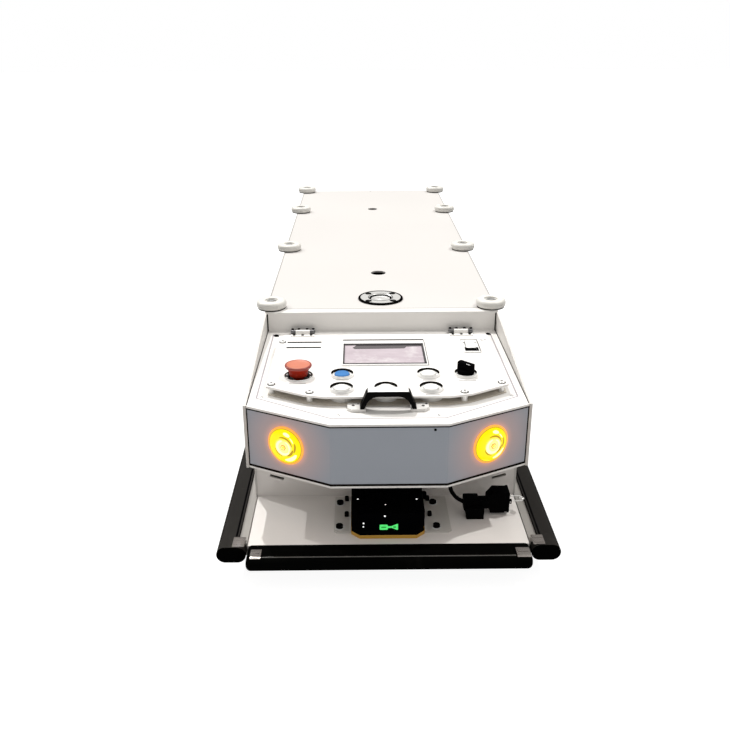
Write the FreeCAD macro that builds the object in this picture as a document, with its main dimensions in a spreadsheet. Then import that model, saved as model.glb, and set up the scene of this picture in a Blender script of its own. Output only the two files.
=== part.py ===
import FreeCAD, Part
import math
import os
import Sketcher

# Low autonomous mobile robot: a white sheet-metal tunnel tugger.
# Frame: +X right, +Y to the tail, +Z up, millimetres. The origin is the middle of the footprint on the floor.
V = FreeCAD.Vector
Rot = FreeCAD.Rotation
Pla = FreeCAD.Placement

doc = FreeCAD.newDocument("mobile_robot")
sheet = doc.addObject("Spreadsheet::Sheet", "dims")
_row = [0]


class Q:
    """A length that remembers the sheet expression it came from."""

    def __init__(self, e, v):
        self.e, self.v = e, v

    def _mk(self, o, op, f):
        o = q(o)
        return Q("(%s %s %s)" % (self.e, op, o.e), f(self.v, o.v))

    def __add__(self, o):
        return self._mk(o, "+", lambda a, b: a + b)

    def __radd__(self, o):
        return q(o) + self

    def __sub__(self, o):
        return self._mk(o, "-", lambda a, b: a - b)

    def __rsub__(self, o):
        return q(o) - self

    def __mul__(self, o):
        return self._mk(o, "*", lambda a, b: a * b)

    def __rmul__(self, o):
        return q(o) * self

    def __truediv__(self, o):
        return self._mk(o, "/", lambda a, b: a / b)

    def __neg__(self):
        return q(0) - self


def q(x):
    return x if isinstance(x, Q) else Q("%.6g" % x if x >= 0 else "(%.6g)" % x, float(x))


def dim(alias, value, note):
    _row[0] += 1
    n = _row[0]
    sheet.set("A%d" % n, note)
    sheet.set("B%d" % n, str(value))
    sheet.setAlias("B%d" % n, alias)
    return Q("dims." + alias, float(value))


# ---------------------------------------------------------------- driving sizes
half = dim("body_half", 202, "half width of the body")
nose = dim("nose", -751.5, "front plane of the fascia")
tail = dim("tail", 784.5, "outer face of the rear panel")
top = dim("deck_top", 270, "deck surface above the floor")
sheet_t = dim("sheet_thickness", 3, "sheet thickness")
rim = dim("rim_top", 235, "surface of the head, one step below the deck")
low = dim("head_low", 138, "underside of the head")
riser = dim("riser_at", 370, "step to the deck, behind the nose")
facet = dim("facet_half", 80, "half width of the fascia's middle facet")
wing = dim("wing_at", 63, "how far the fascia's outer ends sweep back")
bay = dim("bay_depth", 130, "depth of the scanner bay")
bay_z = dim("bay_floor", 48.5, "surface of the bay floor")
bay_w = dim("bay_half", 199, "half width of the bay floor")
pan = dim("pan_low", 30, "underside of the base pan")
pan_t = dim("pan_thickness", 6, "base pan thickness")
ledge = dim("ledge_half", 212.5, "half width over the base ledges")
plate = dim("plate_top", 249.5, "surface of the raised control plate")
roller_d = dim("roller_diameter", 52, "guide roller diameter")
roller_h = dim("roller_height", 14, "guide roller height")
roller_x = dim("roller_offset", 192.5, "guide roller axis from the centre line")
bore_r = dim("bore_radius", 5.05, "guide roller bore")
bump_h = dim("bumper_height", 25, "safety edge height")
bump_fh = dim("bumper_front_height", 21, "front safety edge height")
bump_z = dim("bumper_low", 28.5, "safety edge underside")
bump_w = dim("bumper_half", 242, "half width over the side safety edges")
bump_f = dim("bumper_reach", 42, "front safety edge ahead of the nose")
pin_y = dim("tow_pin_at", 446, "tow pin behind the nose")
pin_r = dim("tow_pin_radius", 17.5, "tow pin radius")
flange_r = dim("flange_radius", 39, "tow flange radius")
wheel_r = dim("drive_wheel_radius", 75, "drive wheel radius")
wheel_w = dim("drive_wheel_width", 40, "drive wheel width")
wheel_x = dim("drive_wheel_offset", 135, "drive wheel centre from the centre line")
cast_r = dim("caster_radius", 37.5, "caster wheel radius")
cast_w = dim("caster_width", 28, "caster wheel width")
cast_x = dim("caster_offset", 115, "caster swivel from the centre line")
cast_y = dim("caster_at", 690, "caster swivel axis")
trail = dim("caster_trail", 30, "caster trail")
lamp_r = dim("lamp_radius", 29, "lamp bezel radius")
scan_w = dim("scanner_half", 53, "half width of the safety scanner")
scan_h = dim("scanner_height", 40.5, "height of the safety scanner")
cap_r = dim("button_cap_radius", 11.1, "push button cap radius")
row_a = dim("button_row_back", 136, "rear row of buttons behind the nose")
row_b = dim("button_row_front", 84.5, "front row of buttons behind the nose")
col = dim("button_column", 65, "left button column from the centre line")
col_r = dim("button_column_right", 62.2, "right button column from the centre line")
doc.recompute()


def Y(v):
    """A place measured back from the nose."""
    return nose + v


# ---------------------------------------------------------------- helpers
def bind(obj, prop, val):
    val = q(val)
    if "dims." in val.e:
        obj.setExpression(prop, val.e)


def place(obj, x, y, z, rot=None):
    x, y, z = q(x), q(y), q(z)
    obj.Placement = Pla(V(x.v, y.v, z.v), rot or Rot())
    for k, w in (("x", x), ("y", y), ("z", z)):
        bind(obj, ".Placement.Base." + k, w)


def box(name, x0, x1, y0, y1, z0, z1):
    o = doc.addObject("Part::Box", name)
    for prop, a, b in (("Length", x0, x1), ("Width", y0, y1), ("Height", z0, z1)):
        d = q(b) - q(a)
        setattr(o, prop, d.v)
        bind(o, prop, d)
    place(o, x0, y0, z0)
    return o


AX = {"z": Rot(), "x": Rot(V(0, 1, 0), 90), "y": Rot(V(1, 0, 0), -90)}


def cyl(name, r, length, x, y, z, axis="z"):
    o = doc.addObject("Part::Cylinder", name)
    r, length = q(r), q(length)
    o.Radius, o.Height = r.v, length.v
    bind(o, "Radius", r)
    bind(o, "Height", length)
    place(o, x, y, z, AX[axis] if isinstance(axis, str) else axis)
    return o


def fuse(name, objs):
    o = doc.addObject("Part::MultiFuse", name)
    o.Shapes = objs
    o.Refine = True
    return o


def cut(name, a, tools):
    t = tools[0] if len(tools) == 1 else fuse(name + "_tools", tools)
    o = doc.addObject("Part::Cut", name)
    o.Base, o.Tool = a, t
    o.Refine = True
    return o


def group(name, objs):
    o = doc.addObject("Part::Compound", name)
    o.Links = objs
    return o


def new_body(name):
    b = doc.addObject("PartDesign::Body", name)
    return b


def new_sketch(body, name, role, offset=0.0):
    s = body.newObject("Sketcher::SketchObject", name)
    pl = [f for f in body.Origin.OriginFeatures if f.Role == role][0]
    s.AttachmentSupport = [(pl, "")]
    s.MapMode = "FlatFace"
    off = q(offset)
    s.AttachmentOffset = Pla(V(0, 0, off.v), Rot())
    bind(s, "AttachmentOffset.Base.z", off)
    return s


def pin_point(s, geo, pos, x, y):
    """Dimension one sketch point from the origin, bound to the sheet."""
    for kind, val, axis in (("DistanceX", x, -2), ("DistanceY", y, -1)):
        val = q(val)
        if abs(val.v) < 1e-9:
            s.addConstraint(Sketcher.Constraint("PointOnObject", geo, pos, axis))
            continue
        i = s.addConstraint(Sketcher.Constraint(kind, -1, 1, geo, pos, val.v))
        if "dims." in val.e:
            s.setExpression("Constraints[%d]" % i, val.e)


def loop(s, pts):
    pts = [(q(a), q(b)) for a, b in pts]
    base = s.GeometryCount
    n = len(pts)
    for i in range(n):
        a, b = pts[i], pts[(i + 1) % n]
        s.addGeometry(Part.LineSegment(V(a[0].v, a[1].v, 0), V(b[0].v, b[1].v, 0)), False)
    for i in range(n):
        s.addConstraint(Sketcher.Constraint("Coincident", base + i, 2, base + (i + 1) % n, 1))
    for i in range(n):
        pin_point(s, base + i, 1, pts[i][0], pts[i][1])


def ring(s, x, y, r):
    x, y, r = q(x), q(y), q(r)
    g = s.addGeometry(Part.Circle(V(x.v, y.v, 0), V(0, 0, 1), r.v), False)
    pin_point(s, g, 3, x, y)
    i = s.addConstraint(Sketcher.Constraint("Radius", g, r.v))
    if "dims." in r.e:
        s.setExpression("Constraints[%d]" % i, r.e)


def pad(body, name, s, length, reverse=False):
    f = body.newObject("PartDesign::Pad", name)
    f.Profile = s
    length = q(length)
    f.Length = length.v
    bind(f, "Length", length)
    f.Reversed = reverse
    s.Visibility = False
    return f


def pocket(body, name, s, length, reverse=False):
    doc.recompute()
    before = body.Shape.Volume
    f = body.newObject("PartDesign::Pocket", name)
    f.Profile = s
    length = q(length)
    f.Length = length.v
    bind(f, "Length", length)
    f.Reversed = reverse
    doc.recompute()
    if not body.Shape.Volume < before - 1e-3:
        raise RuntimeError("pocket cuts nothing: " + name)
    return f


def fillet(body, name, base, radius, test):
    """Round the edges of a feature that pass a test on their end points."""
    doc.recompute()
    names = []
    for i, e in enumerate(base.Shape.Edges):
        if len(e.Vertexes) == 2 and test(e.Vertexes[0].Point, e.Vertexes[1].Point):
            names.append("Edge%d" % (i + 1))
    if not names:
        raise RuntimeError("no edge to round: " + name)
    f = body.newObject("PartDesign::Fillet", name)
    f.Base = (base, names)
    f.Radius = radius
    doc.recompute()
    return f


def turned(name, pts, x=0, y=0, z=0, rot=None):
    """A turned piece: profile (radius, height) revolved about its own Z."""
    b = new_body(name)
    s = new_sketch(b, name + "_profile", "XZ_Plane")
    loop(s, pts)
    f = b.newObject("PartDesign::Revolution", name + "_turn")
    f.Profile = s
    f.ReferenceAxis = (s, ["V_Axis"])
    f.Angle = 360.0
    place(b, x, y, z, rot)
    return b


OUT = {}


def keep(name, obj):
    obj.Label = name
    OUT[name] = obj
    return obj


# ---------------------------------------------------------------- base frame
ped_x, ped_y = 75, 76          # half sizes of the tower over each caster
parts = [
    box("bf_pan", -half, half, Y(0), tail - sheet_t, pan, pan + pan_t),
    box("bf_ledge_l", -ledge, -half, Y(0), tail - sheet_t, pan, 50),
    box("bf_ledge_r", half, ledge, Y(0), tail - sheet_t, pan, 50),
    box("bf_lip_l", -half - 0.5, -bay_w - 1, Y(0), Y(bay) - 0.5, pan, 50),
    box("bf_lip_r", bay_w + 1, half + 0.5, Y(0), Y(bay) - 0.5, pan, 50),
]
holes = []
for k, sg in (("l", -1), ("r", 1)):
    cx = cast_x * sg
    for j, (xa, xb) in enumerate(((-ped_x, -ped_x + 4), (ped_x - 4, ped_x))):
        parts.append(box("bf_tower_%s%d" % (k, j), cx + xa, cx + xb, cast_y - 60, cast_y + 60, pan + pan_t, 104))
    parts.append(box("bf_tower_%s_top" % k, cx - ped_x, cx + ped_x, cast_y - 60, cast_y + 60, 104, 109))
    holes.append(box("bf_well_c" + k, cx - 71, cx + 71, cast_y - 71, cast_y + 71, pan - 1, pan + pan_t + 1))
    holes.append(cyl("bf_king_" + k, 8.05, 10, cx, cast_y, 102))
    holes.append(box("bf_well_d" + k, wheel_x * sg - 27, wheel_x * sg + 27, Y(pin_y) - 74, Y(pin_y) + 74, pan - 1, pan + pan_t + 1))
keep("base_frame", cut("base_frame_f", fuse("bf_all", parts), holes))

# ---------------------------------------------------------------- scanner bay
keep("bay_floor", fuse("bay_floor_f", [
    box("fl_plate", -bay_w, bay_w, Y(-4), Y(bay), bay_z - sheet_t, bay_z),
    box("fl_front", -bay_w, bay_w, Y(-4), Y(-1), pan + 2, bay_z - sheet_t),
    box("fl_left", -bay_w, -bay_w + 3, Y(2), Y(bay), pan + pan_t, bay_z - sheet_t),
    box("fl_right", bay_w - 3, bay_w, Y(2), Y(bay), pan + pan_t, bay_z - sheet_t),
]))
slots = []
for k, cx, cz, tilt in (("l", -168.0, 82.2, 17.5), ("r", 175.3, 80.9, -17.5)):
    o = doc.addObject("Part::Box", "bw_slot_" + k)
    o.Length, o.Width, o.Height = 22, 8, 4.2
    turn = Rot(V(0, 1, 0), tilt)
    o.Placement = Pla(V(cx, nose.v + bay.v - 2, cz) + turn.multVec(V(-11, 0, -2.1)), turn)
    slots.append(o)
keep("bay_wall", cut("bay_wall_f", box("bw", -half + 3.2, half - 3.2, Y(bay), Y(bay) + sheet_t, pan + pan_t, low), slots + [
    cyl("bw_gland", 6.1, 10, 93, Y(bay) - 3, 107.7, "y"),
]))

# ---------------------------------------------------------------- side and rear panels
panels = []
for k, x0 in (("left", -half), ("right", half - sheet_t)):
    b = new_body("side_" + k)
    s = new_sketch(b, "side_%s_outline" % k, "YZ_Plane", x0)
    loop(s, [(Y(bay), pan + pan_t), (tail - sheet_t, pan + pan_t), (tail - sheet_t, top - sheet_t),
             (Y(riser) + 18, top - sheet_t), (Y(riser) + 18, top), (Y(riser), top), (Y(wing), rim),
             (Y(wing), low), (Y(bay), low)])
    pad(b, "side_%s_sheet" % k, s, sheet_t)
    s = new_sketch(b, "side_%s_posts" % k, "XY_Plane", pan + pan_t)
    for yp in (-240, 250, 540):
        xa, xb = (-half + 1, -half + 20) if k == "left" else (half - 20, half - 1)
        loop(s, [(xa, yp), (xb, yp), (xb, yp + 30), (xa, yp + 30)])
    pad(b, "side_%s_post_pad" % k, s, top - sheet_t - pan - pan_t)
    panels.append(b)
keep("side_panels", group("side_panels_f", panels))
keep("rear_panel", cut("rear_panel_f", box("rp", -half, half, tail - sheet_t, tail, pan, top - sheet_t),
     [box("rp_v%d" % i, -60, 60, tail - 6, tail + 3, 150 + 14 * i, 155 + 14 * i) for i in range(4)]))

# ---------------------------------------------------------------- deck
ROLL = [("front", 397), ("second", 810), ("third", 1225), ("rear", 1519)]
b = new_body("deck")
s = new_sketch(b, "deck_outline", "XY_Plane", top - sheet_t)
loop(s, [(-half, Y(riser) + 18.4), (half, Y(riser) + 18.4), (half, tail), (-half, tail)])
pad(b, "deck_sheet", s, sheet_t)
s = new_sketch(b, "deck_ribs", "XY_Plane", top - sheet_t)
for sg in (-1, 1):
    loop(s, [(sg * 100, -200), (sg * 106, -200), (sg * 106, 765), (sg * 100, 765)])
pad(b, "deck_rib_pad", s, 32, True)
s = new_sketch(b, "deck_holes", "XY_Plane", top)
ring(s, 0, Y(pin_y), 25.2)
for a in range(4):
    t = math.radians(45 + 90 * a)
    ring(s, 31 * math.cos(t), Y(pin_y) + 31 * math.sin(t), 3.2)
ring(s, 0, Y(618.6), 15)
ring(s, 0, Y(1259.7), 13)
ring(s, -2, Y(1529), 2.5)
for _, yr in ROLL:
    for sg in (-1, 1):
        ring(s, roller_x * sg, Y(yr), 4.1)
pocket(b, "deck_drill", s, 4)
keep("deck_plate", b)

b = new_body("riser_body")
s = new_sketch(b, "riser_profile", "YZ_Plane", -half + 3.2)
loop(s, [(Y(riser), rim), (Y(riser) + 3, rim), (Y(riser) + 3, top - 3), (Y(riser) + 18, top - 3),
         (Y(riser) + 18, top), (Y(riser), top)])
f = pad(b, "riser_sheet", s, half * 2 - 6.4)
fillet(b, "riser_round", f, 2.6, lambda p, r: abs(p.z - top.v) < 0.01 and abs(r.z - top.v) < 0.01
       and abs(p.y - (nose.v + riser.v)) < 0.01 and abs(r.y - (nose.v + riser.v)) < 0.01)
keep("step_riser", b)

# ---------------------------------------------------------------- head: rim, tray, fascia
fx = half - 3.2                                   # inside the cheeks
fy = (fx - facet) * wing / (half - 1 - facet)      # sweep of the fascia at that width
LID = [(-186.5, 354.6), (-186.5, 88.5), (-78, 20), (78, 20), (186.5, 88.5), (186.5, 354.6)]
HOLE = [(-187.5, 355.8), (-187.5, 87.9), (-78.4, 19), (78.4, 19), (187.5, 87.9), (187.5, 355.8)]
SILL = [(-178, 346), (-178, 93), (-75.5, 28.5), (75.5, 28.5), (178, 93), (178, 346)]
b = new_body("rim_body")
s = new_sketch(b, "rim_outline", "XY_Plane", rim - sheet_t)
loop(s, [(-fx, Y(fy)), (-facet, Y(0)), (facet, Y(0)), (fx, Y(fy)), (fx, Y(riser) + 3), (-fx, Y(riser) + 3)])
loop(s, [(x, Y(y)) for x, y in HOLE])
pad(b, "rim_sheet", s, sheet_t)
s = new_sketch(b, "rim_sill", "XY_Plane", rim - sheet_t)
loop(s, [(x * 1.02, Y(y + (4 if y > 300 else -5))) for x, y in HOLE])
loop(s, [(x, Y(y)) for x, y in SILL])
pad(b, "rim_sill_pad", s, 2.0, True)
s = new_sketch(b, "rim_sill_trim", "XY_Plane", rim - sheet_t)
loop(s, [(x, Y(y)) for x, y in HOLE])
loop(s, [(x, Y(y)) for x, y in SILL])
pocket(b, "rim_sill_drop", s, 0.4)
keep("head_rim", b)

b = new_body("tray_body")
s = new_sketch(b, "tray_outline", "XY_Plane", low)
loop(s, [(-fx, Y(fy)), (-facet, Y(0)), (facet, Y(0)), (fx, Y(fy)), (fx, Y(bay) + 3), (-fx, Y(bay) + 3)])
pad(b, "tray_sheet", s, sheet_t)
s = new_sketch(b, "tray_stiffener", "XY_Plane", low + sheet_t)
loop(s, [(-150, Y(bay)), (150, Y(bay)), (150, Y(bay) + 3), (-150, Y(bay) + 3)])
pad(b, "tray_flange", s, 25)
keep("head_tray", b)

slope = math.degrees(math.atan2(wing.v, half.v - 1 - facet.v))     # sweep angle of the outer facets
b = new_body("fascia_body")
s = new_sketch(b, "fascia_plan", "XY_Plane", low + sheet_t + 1.2)
ex, ey = fx - 1.0, (fx - 1.0 - facet) * wing / (half - 1 - facet) + 0.6
loop(s, [(-ex, Y(ey)), (-facet, Y(0.6)), (facet, Y(0.6)), (ex, Y(ey)), (ex - 1.4, Y(ey) + 2.7),
         (facet - 0.7, Y(3.6)), (-facet + 0.7, Y(3.6)), (-ex + 1.4, Y(ey) + 2.7)])
pad(b, "fascia_sheet", s, rim - low - sheet_t * 2 - 2.2)
lamp_c = (142.5, 32.54, 187.7)
tools = []
for k, sg in (("l", -1), ("r", 1)):
    rot = Rot(V(0, 0, 1), sg * slope).multiply(Rot(V(1, 0, 0), 90))
    c = V(sg * lamp_c[0], nose.v + lamp_c[1], lamp_c[2])
    o = c + rot.multVec(V(0, 0, -15))
    t = doc.addObject("Part::Cylinder", "lamp_hole_" + k)
    t.Radius, t.Height = 27.0, 30
    bind(t, "Radius", lamp_r - 2)
    t.Placement = Pla(o, rot)
    tools.append(t)
tools.append(cyl("fascia_screw_hole", 1.6, 8, 61.6, Y(-2), 226.5, "y"))
keep("fascia", cut("fascia_f", b, tools))

lamps = []
for k, sg in (("l", -1), ("r", 1)):
    rot = Rot(V(0, 0, 1), sg * slope).multiply(Rot(V(1, 0, 0), 90))
    c = V(sg * lamp_c[0], nose.v + lamp_c[1], lamp_c[2]) + rot.multVec(V(0, 0, -0.5))
    b = turned("lamp_" + k, [(0, -26), (25, -26), (25, -8), (lamp_r - 2.2, -8), (lamp_r - 2.2, 0), (lamp_r, 0), (lamp_r, 2.2),
                             (lamp_r - 3, 3.0), (20, 5.2), (12, 6.6), (0, 7.2)], rot=rot)
    b.Placement = Pla(c, rot)
    lamps.append(b)
keep("lamps", group("lamps_f", lamps))

# ---------------------------------------------------------------- safety scanner on its bracket
b = new_body("bracket_body")
s = new_sketch(b, "bracket_plan", "XY_Plane", bay_z)
sw = scan_w + 0.5
loop(s, [(-78, Y(29)), (-74, Y(25)), (-sw, Y(25)), (-sw, Y(110)), (sw, Y(110)), (sw, Y(25)), (88, Y(25)), (92, Y(29)),
         (92, Y(120)), (-78, Y(120))])
pad(b, "bracket_sheet", s, 3)
keep("scanner_bracket", b)
SCR = [(-70, 36), (-70, 101), (71, 36), (71, 101)]
bolts = [cyl("bs_%d" % i, 4.5, 5, x, Y(y), bay_z + 3) for i, (x, y) in enumerate(SCR)]
bolts += [box("bn_%d" % i, x - 3, x + 3, Y(y - 4), Y(y + 4), bay_z + 3, bay_z + 8)
          for i, (x, y) in enumerate([(-60, 68), (-60, 112), (63.5, 68), (63.5, 112)])]
keep("scanner_screws", group("scanner_screws_f", bolts))

b = new_body("scanner_body")
s = new_sketch(b, "scanner_plan", "XY_Plane", bay_z)
loop(s, [(-scan_w, Y(23)), (-scan_w + 12, Y(11)), (scan_w - 12, Y(11)), (scan_w, Y(23)), (scan_w, Y(109.5)), (-scan_w, Y(109.5))])
pad(b, "scanner_block", s, scan_h)
s = new_sketch(b, "scanner_window", "XY_Plane", bay_z + 15)
loop(s, [(-scan_w - 2, Y(9)), (scan_w + 2, Y(9)), (scan_w + 2, Y(60)), (scan_w - 3, Y(60)), (scan_w - 3, Y(25)), (scan_w - 13.4, Y(14)),
         (-scan_w + 13.4, Y(14)), (-scan_w + 3, Y(25)), (-scan_w + 3, Y(60)), (-scan_w - 2, Y(60))])
pocket(b, "scanner_slit", s, 12, True)
keep("scanner", b)

# ---------------------------------------------------------------- bay connector, plug, cable
keep("connector_socket", cut("socket_c", fuse("socket_f", [
    box("so_main", 150, 182, Y(71), Y(93), 56, 84),
    box("so_foot", 155, 177, Y(76), Y(92), bay_z, 56),
    box("so_rib", 150, 154, Y(69), Y(95), 53, 86),
    box("so_lug_a", 181, 186.2, Y(71), Y(73.4), 67.5, 72.5),
    box("so_lug_b", 181, 186.2, Y(90.6), Y(93), 67.5, 72.5),
]), [cyl("so_lug_bore_a", 0.95, 2.5, 184, Y(70.95), 70, "y"), cyl("so_lug_bore_b", 0.95, 2.5, 184, Y(90.55), 70, "y")]))
keep("cable_plug", fuse("plug_f", [
    box("pl_main", 114, 145, Y(66), Y(88), 57, 77),
    box("pl_neck", 145, 149.9, Y(74), Y(90), 61, 77),
    box("pl_foot", 118, 144, Y(60), Y(84), bay_z, 57),
]))
keep("cable_gland", fuse("gland_f", [
    cyl("gl_hex", 9, 4, 93, Y(bay) - 4, 107.7, "y"),
    cyl("gl_nut", 7, 5, 93, Y(bay) - 9, 107.7, "y"),
    cyl("gl_thread", 6, 12, 93, Y(bay), 107.7, "y"),
    cyl("gl_back", 9, 4, 93, Y(bay) + 3.2, 107.7, "y"),
]))


def route(points, last_dir=None):
    """Straight runs joined by tangent arcs, each arc as large as its runs allow."""
    pts = [V(*p) for p in points]
    edges, here, length, radii = [], pts[0], 0.0, []
    for i in range(1, len(pts) - 1):
        a, c = pts[i] - pts[i - 1], pts[i + 1] - pts[i]
        la, lc = a.Length, c.Length
        a.normalize()
        c.normalize()
        turn = a.getAngle(c)
        setback = 0.45 * min(la, lc)
        radii.append(setback / math.tan(turn / 2))
        p, r = pts[i] - a * setback, pts[i] + c * setback
        bis = (c - a)
        bis.normalize()
        mid_c = pts[i] + bis * (radii[-1] / math.cos(turn / 2))
        m = mid_c - bis * radii[-1]
        edges.append(Part.LineSegment(here, p).toShape())
        edges.append(Part.Arc(p, m, r).toShape())
        length += here.distanceToPoint(p) + radii[-1] * turn
        here = r
    edges.append(Part.LineSegment(here, pts[-1]).toShape())
    length += here.distanceToPoint(pts[-1])
    return Part.Wire(edges), length, radii


CABLE = [(93, nose.v + 121, 107.7), (93, nose.v + 108.7, 107.7), (93, nose.v + 97.9, 102.5), (93.6, nose.v + 89.8, 92.4),
         (96.9, nose.v + 83.3, 81.6), (104.3, nose.v + 79.3, 73.1), (114, nose.v + 78, 68)]
wire, cable_len, cable_rad = route(CABLE)
cab = doc.addObject("Part::Feature", "cable_f")
r0 = 3.0
prof = Part.Wire(Part.Circle(V(*CABLE[0]), V(*CABLE[1]) - V(*CABLE[0]), r0).toShape())
cab.Shape = wire.makePipeShell([prof], True, True, 2)
print("cable length %.1f mm, volume ratio %.4f, radii %s" % (
    cable_len, cab.Shape.Volume / (math.pi * r0 * r0 * cable_len), [round(r, 1) for r in cable_rad]))
keep("cable", cab)

leg = [cyl("ba_leg%d" % i, 0.9, 18, 184, Y(y), 70, "x") for i, y in enumerate((75, 89))]
leg.append(cyl("ba_hinge_a", 0.9, 21, 184, Y(71.5), 70, "y"))
leg.append(cyl("ba_end", 0.9, 14, 202, Y(75), 70, "y"))
eye = doc.addObject("Part::Torus", "ba_eye")
eye.Radius1, eye.Radius2 = 3.2, 1.2
place(eye, 202, Y(82), 70)
leg.append(eye)
keep("socket_bail", fuse("bail_f", leg))

# ---------------------------------------------------------------- safety edges
zc = bump_z + bump_h / 2
rr = bump_h / 2


def stadium(s, x0, x1, zm, r, sign=1, both=False):
    """Bar profile with one round nose (towards sign) or two."""
    x0, x1, zm, r = q(x0), q(x1), q(zm), q(r)
    n = s.GeometryCount
    if both:
        a = (x0 + r, x1 - r)
        s.addGeometry(Part.LineSegment(V(a[0].v, zm.v + r.v, 0), V(a[1].v, zm.v + r.v, 0)), False)
        s.addGeometry(Part.ArcOfCircle(Part.Circle(V(a[1].v, zm.v, 0), V(0, 0, 1), r.v), -math.pi / 2, math.pi / 2), False)
        s.addGeometry(Part.LineSegment(V(a[1].v, zm.v - r.v, 0), V(a[0].v, zm.v - r.v, 0)), False)
        s.addGeometry(Part.ArcOfCircle(Part.Circle(V(a[0].v, zm.v, 0), V(0, 0, 1), r.v), math.pi / 2, 3 * math.pi / 2), False)
        s.addConstraint(Sketcher.Constraint("Coincident", n, 2, n + 1, 2))
        s.addConstraint(Sketcher.Constraint("Coincident", n + 1, 1, n + 2, 1))
        s.addConstraint(Sketcher.Constraint("Coincident", n + 2, 2, n + 3, 2))
        s.addConstraint(Sketcher.Constraint("Coincident", n + 3, 1, n, 1))
        for g, p, x, z in ((n, 1, a[0], zm + r), (n, 2, a[1], zm + r), (n + 2, 1, a[1], zm - r), (n + 2, 2, a[0], zm - r),
                           (n + 1, 3, a[1], zm), (n + 3, 3, a[0], zm)):
            pass
        pin_point(s, n + 1, 3, a[1], zm)
        pin_point(s, n + 3, 3, a[0], zm)
        pin_point(s, n, 1, a[0], zm + r)
        pin_point(s, n + 2, 1, a[1], zm - r)
        return
    xe = x1 - r if sign > 0 else x0 + r
    xb = x0 if sign > 0 else x1
    c = Part.Circle(V(xe.v, zm.v, 0), V(0, 0, 1), r.v)
    s.addGeometry(Part.LineSegment(V(xb.v, zm.v + r.v, 0), V(xe.v, zm.v + r.v, 0)), False)
    if sign > 0:
        s.addGeometry(Part.ArcOfCircle(c, -math.pi / 2, math.pi / 2), False)
        hi, lo = 2, 1
    else:
        s.addGeometry(Part.ArcOfCircle(c, math.pi / 2, 3 * math.pi / 2), False)
        hi, lo = 1, 2
    s.addGeometry(Part.LineSegment(V(xe.v, zm.v - r.v, 0), V(xb.v, zm.v - r.v, 0)), False)
    s.addGeometry(Part.LineSegment(V(xb.v, zm.v - r.v, 0), V(xb.v, zm.v + r.v, 0)), False)
    s.addConstraint(Sketcher.Constraint("Coincident", n, 2, n + 1, hi))
    s.addConstraint(Sketcher.Constraint("Coincident", n + 1, lo, n + 2, 1))
    s.addConstraint(Sketcher.Constraint("Coincident", n + 2, 2, n + 3, 1))
    s.addConstraint(Sketcher.Constraint("Coincident", n + 3, 2, n, 1))
    pin_point(s, n + 1, 3, xe, zm)
    pin_point(s, n, 1, xb, zm + r)
    pin_point(s, n + 2, 2, xb, zm - r)


b = new_body("bumper_front_body")
s = new_sketch(b, "bumper_front_profile", "YZ_Plane", -bay_w + 0.5)
stadium(s, Y(-bump_f), Y(-4), bump_z + bump_fh / 2, bump_fh / 2, sign=-1)
f = pad(b, "bumper_front_bar", s, bay_w * 2 - 1)
fillet(b, "bumper_front_ends", f, 7, lambda p, r: abs(abs(p.x) - (bay_w.v - 0.5)) < 0.01 and abs(p.x - r.x) < 0.01
       and not (abs(p.y - Y(-4).v) < 0.01 and abs(r.y - Y(-4).v) < 0.01))
keep("bumper_front", b)

sides = []
for k, sg in (("left", -1), ("right", 1)):
    b = new_body("bumper_" + k)
    s = new_sketch(b, "bumper_%s_profile" % k, "XZ_Plane", -(tail - 12))
    if sg > 0:
        stadium(s, ledge, bump_w, zc, rr, sign=1)
    else:
        stadium(s, -bump_w, -ledge, zc, rr, sign=-1)
    pad(b, "bumper_%s_bar" % k, s, tail - 12 - nose)
    for j, (y_from, depth) in enumerate(((nose, 15), (tail, 12))):
        s = new_sketch(b, "bumper_%s_cap%d" % (k, j), "XZ_Plane", -y_from)
        if sg > 0:
            stadium(s, bay_w + 1.5 if j == 0 else ledge, bump_w, zc, rr, both=(j == 0), sign=1)
        else:
            stadium(s, -bump_w, -bay_w - 1.5 if j == 0 else -ledge, zc, rr, both=(j == 0), sign=-1)
        pad(b, "bumper_%s_end%d" % (k, j), s, depth)
    sides.append(b)
keep("bumper_sides", group("bumper_sides_f", sides))

# ---------------------------------------------------------------- tow pin, flange, lifting guide
py = Y(pin_y)
fl = turned("flange_body", [(20.5, -6), (25, -6), (25, 0.0), (flange_r, 0.0), (flange_r, 2.0), (flange_r - 1, 3.0), (21.5, 3.0), (20.5, 2.0)],
            0, py, top)
holes = []
heads = []
for a in range(4):
    t = math.radians(45 + 90 * a)
    x, y = 31 * math.cos(t), py + 31 * math.sin(t)
    holes.append(cyl("fh_%d" % a, 3.2, 8, x, y, top - 2))
    holes.append(cyl("fc_%d" % a, 5.2, 3, x, y, top + 1))
keep("tow_flange", cut("flange_f", fl, holes))
keep("pin_guide", cut("guide_f", fuse("guide_all", [
    box("pg_plate", -46, 46, py - 46, py + 46, top - 16, top - sheet_t - 0.0),
    cyl("pg_tube", 26, 100, 0, py, top - 112),
    box("pg_motor", -45, 45, py + 24, py + 64, top - 105, top - 24),
]), [cyl("pg_bore", pin_r + 0.05, 130, 0, py, top - 120), cyl("pg_relief", 25.2, 10, 0, py, top - 9)]
    + [cyl("pg_tap%d" % a, 3.05, 13, 31 * math.cos(math.radians(45 + 90 * a)), py + 31 * math.sin(math.radians(45 + 90 * a)), top - 12) for a in range(4)]))
keep("tow_pin", turned("tow_pin_body", [(0, 0), (pin_r, 0), (pin_r, 116), (pin_r - 2, 118), (0, 118)], 0, py, top - 118))

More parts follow.
